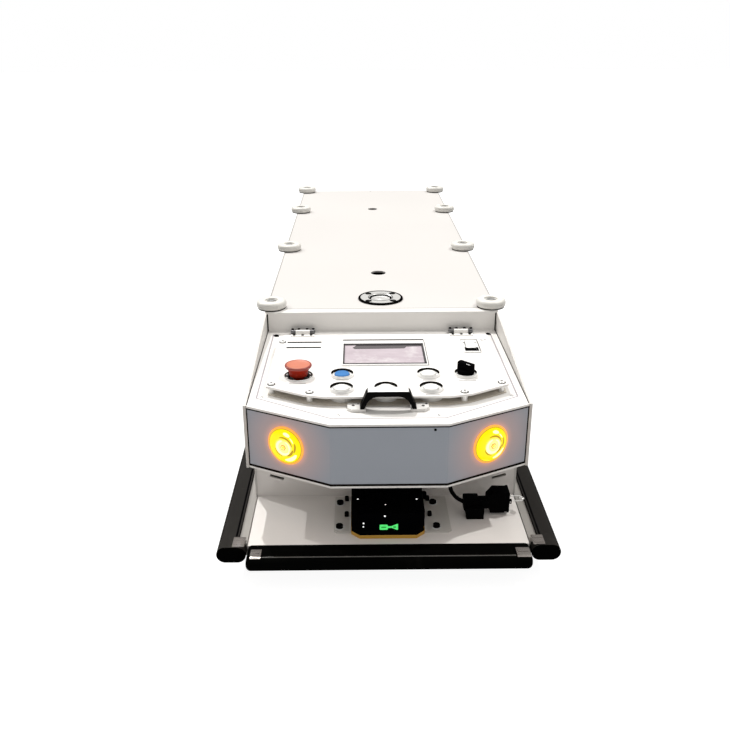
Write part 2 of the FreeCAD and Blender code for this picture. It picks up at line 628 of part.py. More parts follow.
# ---------------------------------------------------------------- guide rollers and their shoulder bolts
rb = []
for nm, yr in ROLL:
    for k, sg in (("left", -1), ("right", 1)):
        keep("roller_%s_%s" % (nm, k), turned("roller_%s_%s_body" % (nm, k), [
            (bore_r, 1), (roller_d / 2 - 3, 1), (roller_d / 2 - 0.8, 2), (roller_d / 2, 4), (roller_d / 2, roller_h - 3),
            (roller_d / 2 - 0.8, roller_h - 0.8), (roller_d / 2 - 3, roller_h + 0.6), (roller_d / 2 - 6, roller_h + 1),
            (12.5, roller_h + 1), (11, roller_h), (11, roller_h - 5), (bore_r, roller_h - 5)], roller_x * sg, Y(yr), top))
        rb.append(turned("bolt_%s_%s" % (nm, k), [(0, -12), (4, -12), (4, 0), (bore_r - 0.05, 0), (bore_r - 0.05, roller_h - 4.5),
                                                  (8, roller_h - 4.5), (8, roller_h - 1.5), (7.3, roller_h - 0.8), (0, roller_h - 0.8)],
                         roller_x * sg, Y(yr), top))
for a in range(4):
    t = math.radians(45 + 90 * a)
    rb.append(turned("flange_screw_%d" % a, [(0, -11), (3, -11), (3, 1), (5, 1), (5, 2.2), (4.4, 2.9), (2.2, 2.9), (2.2, 0.6), (0, 0.6)],
                     31 * math.cos(t), py + 31 * math.sin(t), top))
keep("deck_fasteners", group("deck_fasteners_f", rb))

# ---------------------------------------------------------------- drive unit and wheels
dz = wheel_r
keep("drive_unit", fuse("drive_f", [
    box("du_bridge", -70, 70, py - 45, py + 45, pan + pan_t, 44),
    box("du_gear_l", -106, -52, py - 34, py + 34, 44, 106),
    box("du_gear_r", 52, 106, py - 34, py + 34, 44, 106),
    cyl("du_motor_l", 30, 50, -52, py, dz, "x"),
    cyl("du_motor_r", 30, 49.9, 2.1, py, dz, "x"),
    cyl("du_axle_l", 10, 46, -152, py, dz, "x"),
    cyl("du_axle_r", 10, 46, 106, py, dz, "x"),
]))
hubw = wheel_w / 2
for k, sg in (("left", -1), ("right", 1)):
    keep("drive_wheel_" + k, turned("drive_wheel_%s_body" % k, [
        (10.05, -hubw + 3), (28, -hubw + 3), (28, -hubw + 8), (58, -hubw + 8), (58, -hubw), (wheel_r - 2, -hubw), (wheel_r, -hubw + 2),
        (wheel_r, hubw - 2), (wheel_r - 2, hubw), (58, hubw), (58, hubw - 8), (28, hubw - 8), (28, hubw - 3), (10.05, hubw - 3)],
        wheel_x * sg, py, dz, Rot(V(0, 1, 0), 90)))

# ---------------------------------------------------------------- rear swivel casters
for k, sg in (("left", -1), ("right", 1)):
    cx = cast_x * sg
    wy = cast_y + trail
    inner = cast_w / 2 + 1.2
    keep("caster_fork_" + k, fuse("fork_%s_f" % k, [
        cyl("fk_disc_" + k, 30, 6, cx, cast_y, 97.5),
        cyl("fk_king_" + k, 8, 12, cx, cast_y, 103),
        box("fk_top_" + k, cx - inner - 4, cx + inner + 4, cast_y - 20, wy + 8, 86, 98),
        box("fk_leg_a" + k, cx - inner - 4, cx - inner, wy - 16, wy + 10, cast_r - 12, 87),
        box("fk_leg_b" + k, cx + inner, cx + inner + 4, wy - 16, wy + 10, cast_r - 12, 87),
        cyl("fk_axle_" + k, 5, inner * 2 + 2, cx - inner - 1, wy, cast_r, "x"),
    ]))
    keep("caster_wheel_" + k, turned("caster_wheel_%s_body" % k, [
        (5.05, -cast_w / 2), (12, -cast_w / 2), (14, -cast_w / 2 + 4), (28, -cast_w / 2 + 4), (29, -cast_w / 2), (cast_r - 3, -cast_w / 2),
        (cast_r, -cast_w / 2 + 4), (cast_r, cast_w / 2 - 4), (cast_r - 3, cast_w / 2), (29, cast_w / 2), (28, cast_w / 2 - 4),
        (14, cast_w / 2 - 4), (12, cast_w / 2), (5.05, cast_w / 2)], cx, wy, cast_r, Rot(V(0, 1, 0), 90)))

# ---------------------------------------------------------------- battery and controller
keep("battery", fuse("battery_f", [
    box("bt_case", -150, 150, -120, 230, pan + pan_t, 190),
    box("bt_term", -40, 40, 200, 228, 190, 202),
]))
keep("controller", fuse("controller_f", [
    box("ct_case", -140, 140, 300, 520, pan + pan_t, 150),
    box("ct_fins", -120, 120, 320, 500, 150, 165),
]))

# ---------------------------------------------------------------- lid with its hinges
hx = ((-157, -116), (116, 157))
hy, hz = 355.2, 239.6
fixed = []
moving = []
for i, (xa, xb) in enumerate(hx):
    w = (xb - xa) / 5.0
    fixed.append(fuse("hf_%d" % i, [
        box("hf_leaf%d" % i, xa, xb, Y(hy + 4.2), Y(hy + 13), rim, rim + 1.4),
        box("hf_web_a%d" % i, xa, xa + w - 0.4, Y(hy + 0.5), Y(hy + 4.4), rim + 1.2, rim + 4.0),
        box("hf_web_b%d" % i, xa + 4 * w + 0.4, xb, Y(hy + 0.5), Y(hy + 4.4), rim + 1.2, rim + 4.0),
        cyl("hf_kn_a%d" % i, 3.4, w - 0.4, xa, Y(hy), hz, "x"),
        cyl("hf_kn_b%d" % i, 3.4, w - 0.4, xa + 4 * w + 0.4, Y(hy), hz, "x"),
        cyl("hf_pin%d" % i, 1.5, xb - xa - 0.5, xa + 0.25, Y(hy), hz, "x"),
    ]))
    kn = cut("hm_kn%d" % i, fuse("hm_kf%d" % i, [
        cyl("hm_kc%d" % i, 3.4, 3 * w - 0.4, xa + w + 0.2, Y(hy), hz, "x"),
        box("hm_web%d" % i, xa + w + 0.2, xa + 4 * w - 0.2, Y(hy - 4.4), Y(hy - 0.5), rim + 0.0, rim + 4.0),
        box("hm_leaf%d" % i, xa, xb, Y(hy - 13), Y(hy - 4.0), rim - 0.0, rim + 1.4),
    ]), [cyl("hm_bore%d" % i, 1.55, 3 * w + 2, xa + w - 1, Y(hy), hz, "x")])
    moving.append(kn)
keep("hinge_leaves", group("hinge_leaves_f", fixed))

BTN = [("blue", -col, row_a), ("right_back", col_r, row_a), ("left_front", -col, row_b), ("centre_front", q(-2), row_b), ("right_front", col_r, row_b)]
EST = (-129, 133)
SEL = (117.5, 135.5)
RCK = (139.5, 251.3)
STD = [(-164.5, 278), (-166.5, 104.5), (-110, 75), (108.5, 73), (166, 105.5), (164, 281)]
b = new_body("lid_body")
s = new_sketch(b, "lid_outline", "XY_Plane", rim - sheet_t)
loop(s, [(x, Y(y)) for x, y in LID])
f = pad(b, "lid_sheet", s, sheet_t)
s = new_sketch(b, "lid_holes", "XY_Plane", rim)
for _, x, y in BTN:
    ring(s, x, Y(y), 14.6)
ring(s, EST[0], Y(EST[1]), 14.6)
ring(s, SEL[0], Y(SEL[1]), 14.6)
loop(s, [(-58, Y(182)), (58, Y(182)), (58, Y(268)), (-58, Y(268))])
loop(s, [(RCK[0] - 9, Y(RCK[1] - 22)), (RCK[0] + 9, Y(RCK[1] - 22)), (RCK[0] + 9, Y(RCK[1] + 22)), (RCK[0] - 9, Y(RCK[1] + 22))])
pocket(b, "lid_cutouts", s, 4)
keep("lid_panel", fuse("lid_f", [b] + moving))

# ---------------------------------------------------------------- raised control plate
b = new_body("plate_body")
s = new_sketch(b, "plate_outline", "XY_Plane", plate - sheet_t)
loop(s, [(-172.5, Y(293)), (-173.5, Y(97.5)), (-117.5, Y(66)), (-87, Y(58.5)), (87, Y(58.5)), (117.5, Y(66)), (175, Y(99.5)), (173, Y(293))])
pad(b, "plate_sheet", s, sheet_t)
s = new_sketch(b, "plate_holes", "XY_Plane", plate)
for _, x, y in BTN:
    ring(s, x, Y(y), 14.1)
ring(s, EST[0], Y(EST[1]), 16)
ring(s, SEL[0], Y(SEL[1]), 14.1)
for x, y in STD:
    ring(s, x, Y(y), 2.1)
loop(s, [(-60, Y(180)), (60, Y(180)), (60, Y(270)), (-60, Y(270))])
loop(s, [(RCK[0] - 11, Y(RCK[1] - 25)), (RCK[0] + 11, Y(RCK[1] - 25)), (RCK[0] + 11, Y(RCK[1] + 25)), (RCK[0] - 11, Y(RCK[1] + 25))])
loop(s, [(-156.5, Y(251)), (-100.8, Y(251)), (-100.8, Y(253.6)), (-156.5, Y(253.6))])
loop(s, [(-156, Y(275)), (-101.2, Y(275)), (-101.2, Y(277.6)), (-156, Y(277.6))])
pocket(b, "plate_cutouts", s, 4)
keep("control_plate", b)
gap = plate - sheet_t - rim
keep("standoffs", group("standoffs_f", [
    turned("so_%d" % i, [(0, 0), (4.5, 0), (4.5, gap), (2, gap), (2, gap + sheet_t), (4.6, gap + sheet_t), (4.6, gap + sheet_t + 1.0), (3.6, gap + sheet_t + 1.6), (0, gap + sheet_t + 1.6)],
           x, Y(y), rim) for i, (x, y) in enumerate(STD)]))

# ---------------------------------------------------------------- operator panel pieces
b = new_body("hmi_body")
s = new_sketch(b, "hmi_bezel", "XY_Plane", plate)
loop(s, [(-66.5, Y(171.5)), (66, Y(171.5)), (66, Y(277.5)), (-66.5, Y(277.5))])
pad(b, "hmi_bezel_pad", s, 2.4)
s = new_sketch(b, "hmi_case", "XY_Plane", plate)
loop(s, [(-57.5, Y(182.5)), (57.5, Y(182.5)), (57.5, Y(267.5)), (-57.5, Y(267.5))])
pad(b, "hmi_case_pad", s, 42, True)
s = new_sketch(b, "hmi_screen", "XY_Plane", plate + 2.4)
loop(s, [(-63.5, Y(175.5)), (62.5, Y(175.5)), (62.5, Y(261.5)), (-63.5, Y(261.5))])
pocket(b, "hmi_recess", s, 1.4)
keep("touch_panel", b)

RINGP = [(0, 214), (13.5, 214), (13.5, 236), (17, 236), (17, 246.5), (14, 246.5), (14, 249.5), (16.6, 249.5), (16.6, 251.4), (16, 252.3), (12.2, 252.3),
         (11.4, 251.6), (11.4, 241), (0, 241)]
keep("button_rings", group("button_rings_f", [
    turned("ring_" + n, [(r, z - plate.v) for r, z in RINGP], x, Y(y), plate) for n, x, y in BTN]))
for n, x, y in BTN:
    keep("button_cap_" + n, turned("cap_%s_body" % n, [(0, -5), (cap_r, -5), (cap_r, 3.0), (cap_r - 0.9, 3.8), (0, 4.2)], x, Y(y), plate))
keep("estop_base", turned("estop_base_body", [(r, z - plate.v) for r, z in [
    (0, 205), (14, 205), (14, 236), (18.5, 236), (18.5, 246.5), (15.8, 246.5), (15.8, 249.5), (22, 249.5), (22, 251), (21, 252), (15.2, 252),
    (15.2, 246), (8.4, 246), (8.4, 238), (0, 238)]], EST[0], Y(EST[1]), plate))
keep("estop_head", turned("estop_head_body", [(r, z - plate.v) for r, z in [
    (0, 243), (8, 243), (8, 252), (14.2, 252), (14.6, 257), (16.5, 261.5), (19.6, 265), (20, 266.6), (19.6, 268.2), (18.2, 269.2), (14, 268.6), (0, 267.8)]],
    EST[0], Y(EST[1]), plate))
keep("selector_base", turned("selector_base_body", [(r, z - plate.v) for r, z in [
    (0, 214), (13.5, 214), (13.5, 236), (17, 236), (17, 246.5), (14, 246.5), (14, 249.5), (16, 249.5), (16, 251.4), (15.2, 252.3), (5.05, 252.3), (5.05, 244), (0, 244)]],
    SEL[0], Y(SEL[1]), plate))
kd = turned("knob_disc", [(0, -4.5), (5, -4.5), (5, 3.2), (12.4, 3.2), (12.4, 8), (11.6, 9), (0, 9)], SEL[0], Y(SEL[1]), plate)
kf = doc.addObject("Part::Box", "knob_fin")
kf.Length, kf.Width, kf.Height = 24, 8.5, 12
rot = Rot(V(0, 0, 1), 135)
kf.Placement = Pla(V(SEL[0], nose.v + SEL[1], plate.v + 7) + rot.multVec(V(-12, -4.25, 0)), rot)
keep("selector_knob", fuse("knob_f", [kd, kf]))

fr = cut("rocker_frame_f", fuse("rf_all", [
    box("rf_flange", RCK[0] - 13.5, RCK[0] + 13.5, Y(RCK[1] - 27.5), Y(RCK[1] + 27.5), plate, plate + 2),
    box("rf_case", RCK[0] - 8.7, RCK[0] + 8.7, Y(RCK[1] - 21.7), Y(RCK[1] + 21.7), plate - 28, plate),
]), [box("rf_pocket", RCK[0] - 7.9, RCK[0] + 7.9, Y(RCK[1] - 20.9), Y(RCK[1] + 20.9), plate - 12, plate + 4)])
keep("rocker_frame", fr)
b = new_body("rocker_body")
s = new_sketch(b, "rocker_profile", "YZ_Plane", RCK[0] - 7.4)
loop(s, [(Y(RCK[1] - 19), plate - 4), (Y(RCK[1]), plate - 8), (Y(RCK[1] + 19), plate - 2), (Y(RCK[1] + 19.2), plate + 4.5),
         (Y(RCK[1]), plate + 2.6), (Y(RCK[1] - 19.2), plate + 1.2)])
pad(b, "rocker_paddle", s, 14.8)
keep("rocker", b)

b = new_body("handle_body")
s = new_sketch(b, "handle_arch", "XZ_Plane", -(Y(38)))
loop(s, [(-57, rim), (-28, rim), (-23.5, 256), (-20.5, 258.5), (20.5, 258.5), (23.5, 256), (28, rim), (57, rim), (57, rim + 5), (35, rim + 5),
         (30.5, 262), (27, 265.5), (-27, 265.5), (-30.5, 262), (-35, rim + 5), (-57, rim + 5)])
pad(b, "handle_strap", s, 18, True)
keep("handle", b)

# ---------------------------------------------------------------- recompute, check, write
doc.recompute()
bad = []
for o in doc.Objects:
    st = [x for x in o.State if x in ("Invalid", "Error")]
    if st:
        bad.append("%s %s" % (o.Name, st))
for n, o in OUT.items():
    sh = o.Shape
    if sh.isNull() or not sh.isValid() or not sh.Solids:
        bad.append("%s shape null, invalid or without a solid" % n)
if bad:
    raise RuntimeError("; ".join(bad))
os.makedirs("parts", exist_ok=True)
for old in os.listdir("parts"):
    if old.endswith(".step") and old[:-5] not in OUT:
        os.remove(os.path.join("parts", old))
for n, o in OUT.items():
    o.Shape.exportStep("parts/%s.step" % n)
print("%d nodes, %d solids" % (len(OUT), sum(len(o.Shape.Solids) for o in OUT.values())))
bb = FreeCAD.BoundBox()
for o in OUT.values():
    bb.add(o.Shape.BoundBox)
print("bounds", [round(v, 2) for v in (bb.XMin, bb.XMax, bb.YMin, bb.YMax, bb.ZMin, bb.ZMax)])
for n, o in OUT.items():
    x = o.Shape.BoundBox
    print("%-24s %2d solids %9.0f mm3  x %7.1f %7.1f  y %7.1f %7.1f  z %6.1f %6.1f" % (
        n, len(o.Shape.Solids), o.Shape.Volume, x.XMin, x.XMax, x.YMin, x.YMax, x.ZMin, x.ZMax))
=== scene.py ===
import bpy, bmesh, math
from mathutils import Vector, Matrix


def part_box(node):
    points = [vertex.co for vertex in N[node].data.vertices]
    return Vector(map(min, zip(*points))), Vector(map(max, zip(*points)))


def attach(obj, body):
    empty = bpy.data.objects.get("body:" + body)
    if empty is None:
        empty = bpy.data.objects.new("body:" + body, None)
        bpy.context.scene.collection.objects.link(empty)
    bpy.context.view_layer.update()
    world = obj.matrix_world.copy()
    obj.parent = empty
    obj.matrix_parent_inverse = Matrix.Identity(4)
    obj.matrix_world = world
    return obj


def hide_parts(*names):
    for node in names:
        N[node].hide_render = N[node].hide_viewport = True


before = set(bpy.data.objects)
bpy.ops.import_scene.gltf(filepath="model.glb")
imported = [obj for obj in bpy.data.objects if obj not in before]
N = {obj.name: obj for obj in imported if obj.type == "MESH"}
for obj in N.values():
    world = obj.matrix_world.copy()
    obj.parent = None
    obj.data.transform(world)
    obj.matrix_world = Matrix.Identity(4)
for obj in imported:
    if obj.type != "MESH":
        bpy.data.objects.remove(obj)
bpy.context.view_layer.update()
scene = bpy.context.scene

# ------------------------------------------------------------------ frame positions
_lo, _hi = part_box("fascia")
NOSE = _lo.y - 0.0006                     # front plane of the head


def P(x, y, z):
    """millimetres to metres: x to the right, y behind the nose, z above the floor"""
    return Vector((x / 1000, NOSE + y / 1000, z / 1000))


# ------------------------------------------------------------------ camera
cam_d = bpy.data.cameras.new("camera")
cam = bpy.data.objects.new("camera", cam_d)
scene.collection.objects.link(cam)
cam_d.sensor_width = 36.0
cam_d.lens = 36.0 * 824.216 / 730
cam_d.clip_start, cam_d.clip_end = 0.01, 60
_pitch, _yaw, _roll = 0.385, 0.00779, -0.00431
fwd = Vector((math.sin(_yaw) * math.cos(_pitch), math.cos(_yaw) * math.cos(_pitch), -math.sin(_pitch)))
right = Vector((math.cos(_yaw), -math.sin(_yaw), 0))
up = right.cross(fwd)
r2 = right * math.cos(_roll) + up * math.sin(_roll)
u2 = -right * math.sin(_roll) + up * math.cos(_roll)
M = Matrix((r2, u2, -fwd)).transposed().to_4x4()
M.translation = Vector((-0.039905, -1.738146 + (NOSE + 0.7515), 0.720644))
cam.matrix_world = M
scene.camera = cam


# ------------------------------------------------------------------ materials
def lin(r, g, b):
    def f(c):
        c /= 255
        return c / 12.92 if c <= 0.04045 else ((c + 0.055) / 1.055) ** 2.4
    return (f(r), f(g), f(b))


def clamp3(c, k):
    return tuple(min(1.0, max(0.0, v * k)) for v in c) + (1.0,)


def pm(name, rgb, rough=0.45, metal=0.0, var=0.03, vscale=9.0, bump=0.08, bscale=700.0, bdist=0.0004, rvar=0.05,
       coat=0.0, stretch=None, spec=0.5, tint=None, speck=None):
    """principled material: colour drift, roughness drift and a fine surface bump, all from object-space noise"""
    m = bpy.data.materials.new(name)
    m.use_nodes = True
    nt = m.node_tree
    b = nt.nodes["Principled BSDF"]
    b.inputs["Metallic"].default_value = metal
    if spec <= 0.15:                           # very matt finishes: almost no surface reflection at any angle
        b.inputs["IOR"].default_value = 1.0 + 0.4 * spec
    b.inputs["Specular IOR Level"].default_value = max(spec, 0.2)
    b.inputs["Coat Weight"].default_value = coat
    b.inputs["Coat Roughness"].default_value = 0.08
    tc = nt.nodes.new("ShaderNodeTexCoord")
    mp = nt.nodes.new("ShaderNodeMapping")
    if stretch:
        mp.inputs["Scale"].default_value = stretch
    nt.links.new(tc.outputs["Object"], mp.inputs["Vector"])
    n1 = nt.nodes.new("ShaderNodeTexNoise")
    n1.inputs["Scale"].default_value = vscale
    n1.inputs["Detail"].default_value = 5.0
    nt.links.new(mp.outputs["Vector"], n1.inputs["Vector"])
    mx = nt.nodes.new("ShaderNodeMix")
    mx.data_type = "RGBA"
    mx.inputs[6].default_value = clamp3(rgb, 1 - var)
    mx.inputs[7].default_value = clamp3(tint or rgb, 1 + var)
    nt.links.new(n1.outputs["Fac"], mx.inputs[0])
    out = mx.outputs[2]
    if speck:                                  # (colour, scale, threshold): dust, flakes or scuffs
        ns = nt.nodes.new("ShaderNodeTexNoise")
        ns.inputs["Scale"].default_value = speck[1]
        ns.inputs["Detail"].default_value = 8.0
        ns.inputs["Roughness"].default_value = 0.65
        nt.links.new(tc.outputs["Object"], ns.inputs["Vector"])
        mr = nt.nodes.new("ShaderNodeMapRange")
        mr.inputs["From Min"].default_value = speck[2]
        mr.inputs["From Max"].default_value = speck[2] + 0.16
        nt.links.new(ns.outputs["Fac"], mr.inputs["Value"])
        m2 = nt.nodes.new("ShaderNodeMix")
        m2.data_type = "RGBA"
        nt.links.new(mr.outputs["Result"], m2.inputs[0])
        nt.links.new(out, m2.inputs[6])
        m2.inputs[7].default_value = (*speck[0], 1)
        out = m2.outputs[2]
    nt.links.new(out, b.inputs["Base Color"])
    mr = nt.nodes.new("ShaderNodeMapRange")
    mr.inputs["To Min"].default_value = max(0.02, rough - rvar)
    mr.inputs["To Max"].default_value = min(1.0, rough + rvar)
    nt.links.new(n1.outputs["Fac"], mr.inputs["Value"])
    nt.links.new(mr.outputs["Result"], b.inputs["Roughness"])
    n2 = nt.nodes.new("ShaderNodeTexNoise")
    n2.inputs["Scale"].default_value = bscale
    n2.inputs["Detail"].default_value = 3.0
    nt.links.new(mp.outputs["Vector"], n2.inputs["Vector"])
    bp = nt.nodes.new("ShaderNodeBump")
    bp.inputs["Strength"].default_value = bump
    bp.inputs["Distance"].default_value = bdist
    nt.links.new(n2.outputs["Fac"], bp.inputs["Height"])
    nt.links.new(bp.outputs["Normal"], b.inputs["Normal"])
    return m


def glow(name, rgb, strength, base=(0.1, 0.1, 0.1), vscale=300.0, lo=0.85):
    """lit plastic: emission drifts a little over the surface"""
    m = pm(name, base, 0.2, var=0.05, vscale=80, bump=0.03)
    nt = m.node_tree
    b = nt.nodes["Principled BSDF"]
    tc = nt.nodes.new("ShaderNodeTexCoord")
    n = nt.nodes.new("ShaderNodeTexNoise")
    n.inputs["Scale"].default_value = vscale
    nt.links.new(tc.outputs["Object"], n.inputs["Vector"])
    mx = nt.nodes.new("ShaderNodeMix")
    mx.data_type = "RGBA"
    mx.inputs[6].default_value = clamp3(rgb, lo)
    mx.inputs[7].default_value = clamp3(rgb, 1.0)
    nt.links.new(n.outputs["Fac"], mx.inputs[0])
    nt.links.new(mx.outputs[2], b.inputs["Emission Color"])
    b.inputs["Emission Strength"].default_value = strength
    return m


paint = pm("paint_white", (0.82, 0.805, 0.785), 0.42, var=0.012, vscale=5, bump=0.10, bscale=520, coat=0.12)
paint_bay = pm("paint_white_bay", (0.83, 0.80, 0.775), 0.20, var=0.015, vscale=6, bump=0.05, bscale=420, coat=0.25)
# dark grey-beige for the base frame's side ledges: a shaded copy of the white paint, painted shade
paint_ledge = pm("paint_ledge", (0.33, 0.315, 0.295), 0.6, var=0.03, vscale=12, bump=0.15, bscale=900)
paint_shade = pm("paint_bracket", (0.58, 0.56, 0.53), 0.38, var=0.03, vscale=25, bump=0.10, bscale=800)
fascia_m = pm("paint_grey_satin", (0.358, 0.39, 0.448), 0.40, var=0.015, vscale=6, bump=0.10, bscale=760, coat=0.08)
edge_m = pm("paint_sheet_edge", (0.60, 0.59, 0.57), 0.5, var=0.03, vscale=40, bump=0.1)
rubber = pm("rubber_black", (0.0016, 0.0016, 0.0014), 0.38, spec=0.12, var=0.30, vscale=30, bump=0.22, bscale=1500, bdist=0.0003,
            speck=((0.005, 0.0046, 0.0042), 38.0, 0.60))
# side bumper rubber: its grey stands for sky reflected on the upward faces, a painted sheen
rubber_side = pm("rubber_side", (0.028, 0.0265, 0.025), 0.55, spec=0.14, var=0.15, vscale=16, bump=0.22, bscale=1500, bdist=0.0003,
                 speck=((0.050, 0.047, 0.044), 26.0, 0.60))


def shade_below_sheen_on_top(m):
    """painted shade and sheen: the ends and the underside of the strip are painted black as shade, and the lighter grey
    kept on its upward faces is a painted sheen
    """
    nt = m.node_tree
    b = nt.nodes["Principled BSDF"]
    src = b.inputs["Base Color"].links[0].from_socket
    tc = nt.nodes.new("ShaderNodeTexCoord")
    sp = nt.nodes.new("ShaderNodeSeparateXYZ")
    nt.links.new(tc.outputs["Normal"], sp.inputs[0])
    fr = nt.nodes.new("ShaderNodeMapRange")
    fr.inputs["From Min"].default_value = -0.30
    fr.inputs["From Max"].default_value = -0.60
    nt.links.new(sp.outputs["Y"], fr.inputs["Value"])
    un = nt.nodes.new("ShaderNodeMapRange")
    un.inputs["From Min"].default_value = 0.45
    un.inputs["From Max"].default_value = 0.05
    nt.links.new(sp.outputs["Z"], un.inputs["Value"])
    mx = nt.nodes.new("ShaderNodeMath")
    mx.operation = "MAXIMUM"
    nt.links.new(fr.outputs["Result"], mx.inputs[0])
    nt.links.new(un.outputs["Result"], mx.inputs[1])
    m2 = nt.nodes.new("ShaderNodeMix")
    m2.data_type = "RGBA"
    nt.links.new(mx.outputs[0], m2.inputs[0])
    nt.links.new(src, m2.inputs[6])
    m2.inputs[7].default_value = (0.0012, 0.0012, 0.0012, 1)
    nt.links.new(m2.outputs[2], b.inputs["Base Color"])


shade_below_sheen_on_top(rubber_side)
tyre_m = pm("tyre_polyurethane", (0.035, 0.034, 0.033), 0.6, var=0.2, vscale=30, bump=0.3, bscale=1100,
            speck=((0.10, 0.095, 0.088), 60.0, 0.58))
nylon = pm("nylon_white", (0.68, 0.67, 0.635), 0.42, var=0.03, vscale=45, bump=0.10, bscale=1300)
steel = pm("steel_brushed", (0.60, 0.60, 0.60), 0.28, metal=1.0, var=0.08, vscale=60, bump=0.12, bscale=900, stretch=(1, 14, 1))
zinc = pm("steel_zinc", (0.58, 0.59, 0.60), 0.38, metal=1.0, var=0.15, vscale=90, bump=0.12, bscale=600,
          speck=((0.42, 0.43, 0.45), 220.0, 0.56))
satin = pm("steel_satin", (0.74, 0.74, 0.73), 0.34, metal=0.6, var=0.06, vscale=80, bump=0.15, bscale=1600, stretch=(1, 9, 1))
chrome = pm("chrome", (0.90, 0.90, 0.90), 0.10, metal=1.0, var=0.02, vscale=50, bump=0.03, bscale=500)
whitemetal = pm("bezel_white_metal", (0.88, 0.88, 0.87), 0.24, metal=0.25, var=0.02, vscale=60, bump=0.05, bscale=900)
blackpl = pm("plastic_black", (0.0022, 0.0022, 0.0024), 0.45, spec=0.10, var=0.2, vscale=60, bump=0.18, bscale=1800, bdist=0.0002)
blackgloss = pm("plastic_black_gloss", (0.0012, 0.0012, 0.0016), 0.10, var=0.2, vscale=20, bump=0.02, bscale=300, spec=0.06)
blacksteel = pm("steel_black_oxide", (0.003, 0.003, 0.003), 0.40, spec=0.12, var=0.25, vscale=90, bump=0.15, bscale=1400)
darkgap = pm("gap_shadow", (0.010, 0.009, 0.008), 0.85, spec=0.05, var=0.2, vscale=40, bump=0.1)
greyline = pm("seal_grey", (0.17, 0.163, 0.157), 0.8, spec=0.1, var=0.08, vscale=40, bump=0.1)
greyplast = pm("plastic_grey", (0.022, 0.021, 0.021), 0.5, spec=0.2, var=0.1, vscale=60, bump=0.15, bscale=1600)
housing = pm("plastic_grey_case", (0.32, 0.33, 0.34), 0.5, var=0.05, vscale=40, bump=0.15, bscale=1500)
whiteplast = pm("plastic_white", (0.86, 0.86, 0.85), 0.22, var=0.015, vscale=60, bump=0.06, bscale=1500, coat=0.2)
clearcap = pm("plastic_white_cap", (0.88, 0.87, 0.84), 0.16, var=0.03, vscale=90, bump=0.05, bscale=1200, coat=0.5)
bluecap = glow("plastic_blue_lit", lin(64, 150, 240), 0.12, base=(0.03, 0.155, 0.40), vscale=90, lo=0.8)
# one red plastic split into copies: the lighter top is painted light, the darker stem and lip are painted shade
red_lit_top = pm("plastic_red_top_lit", (0.56, 0.170, 0.098), 0.42, var=0.06, vscale=70, bump=0.06, bscale=1300, coat=0.35)
red_shaded_stem = pm("plastic_red_stem_shaded", (0.34, 0.016, 0.004), 0.45, spec=0.2, var=0.12, vscale=70, bump=0.06, bscale=1300, coat=0.25)
red_shaded_lip = pm("plastic_red_lip_shaded", (0.27, 0.030, 0.018), 0.30, var=0.05, vscale=70, bump=0.05, bscale=1300, coat=0.5)
gold = pm("trim_gold", lin(206, 158, 62), 0.34, metal=0.25, var=0.10, vscale=60, bump=0.08, bscale=1200)
jacket = pm("cable_jacket_black", (0.003, 0.003, 0.003), 0.5, spec=0.15, var=0.2, vscale=120, bump=0.2, bscale=1400)
battery_m = pm("battery_case_dark", (0.05, 0.055, 0.06), 0.5, var=0.08, vscale=20, bump=0.2, bscale=900)
alloy_m = pm("alloy_cast", (0.55, 0.55, 0.56), 0.48, metal=0.9, var=0.06, vscale=60, bump=0.25, bscale=1100)
# screen: its pinkish-white and lighter patches are painted reflection of the surroundings
screen_reflection_m = pm("screen_glass_reflection", (0.43, 0.36, 0.40), 0.12, var=0.10, vscale=26, bump=0.01, tint=(0.52, 0.46, 0.50), coat=0.2, spec=0.3,
             speck=((0.60, 0.56, 0.58), 30.0, 0.50), stretch=(1, 2.2, 1))
# dark grey for the band along the rear of the screen and the lines along the bezel's right and rear edges: painted
# shade
screen_shade_grey = pm("screen_shade_band", (0.085, 0.075, 0.082), 0.25, var=0.12, vscale=30, bump=0.02, coat=0.4)
framegrey = pm("screen_frame", (0.030, 0.027, 0.030), 0.4, var=0.08, vscale=60, bump=0.06)
label_m = pm("label_strip", (0.46, 0.45, 0.445), 0.7, var=0.05, vscale=200, bump=0.1)
led_w = glow("led_white", (1.0, 1.0, 1.0), 1.4)
led_g = glow("display_green", lin(96, 250, 130), 1.1, base=(0.0, 0.02, 0.0), vscale=700, lo=0.55)
amber_rim = glow("lens_amber_rim", (0.66, 0.27, 0.075), 1.0, base=(0.8, 0.4, 0.0), vscale=120)
amber_white = glow("lens_reflection", (1.0, 1.0, 0.56), 1.05, base=(0.9, 0.8, 0.2), vscale=260, lo=0.9)
amber_dark = glow("lens_shade", (0.66, 0.36, 0.0), 0.85, base=(0.05, 0.02, 0.0), vscale=260, lo=0.8)


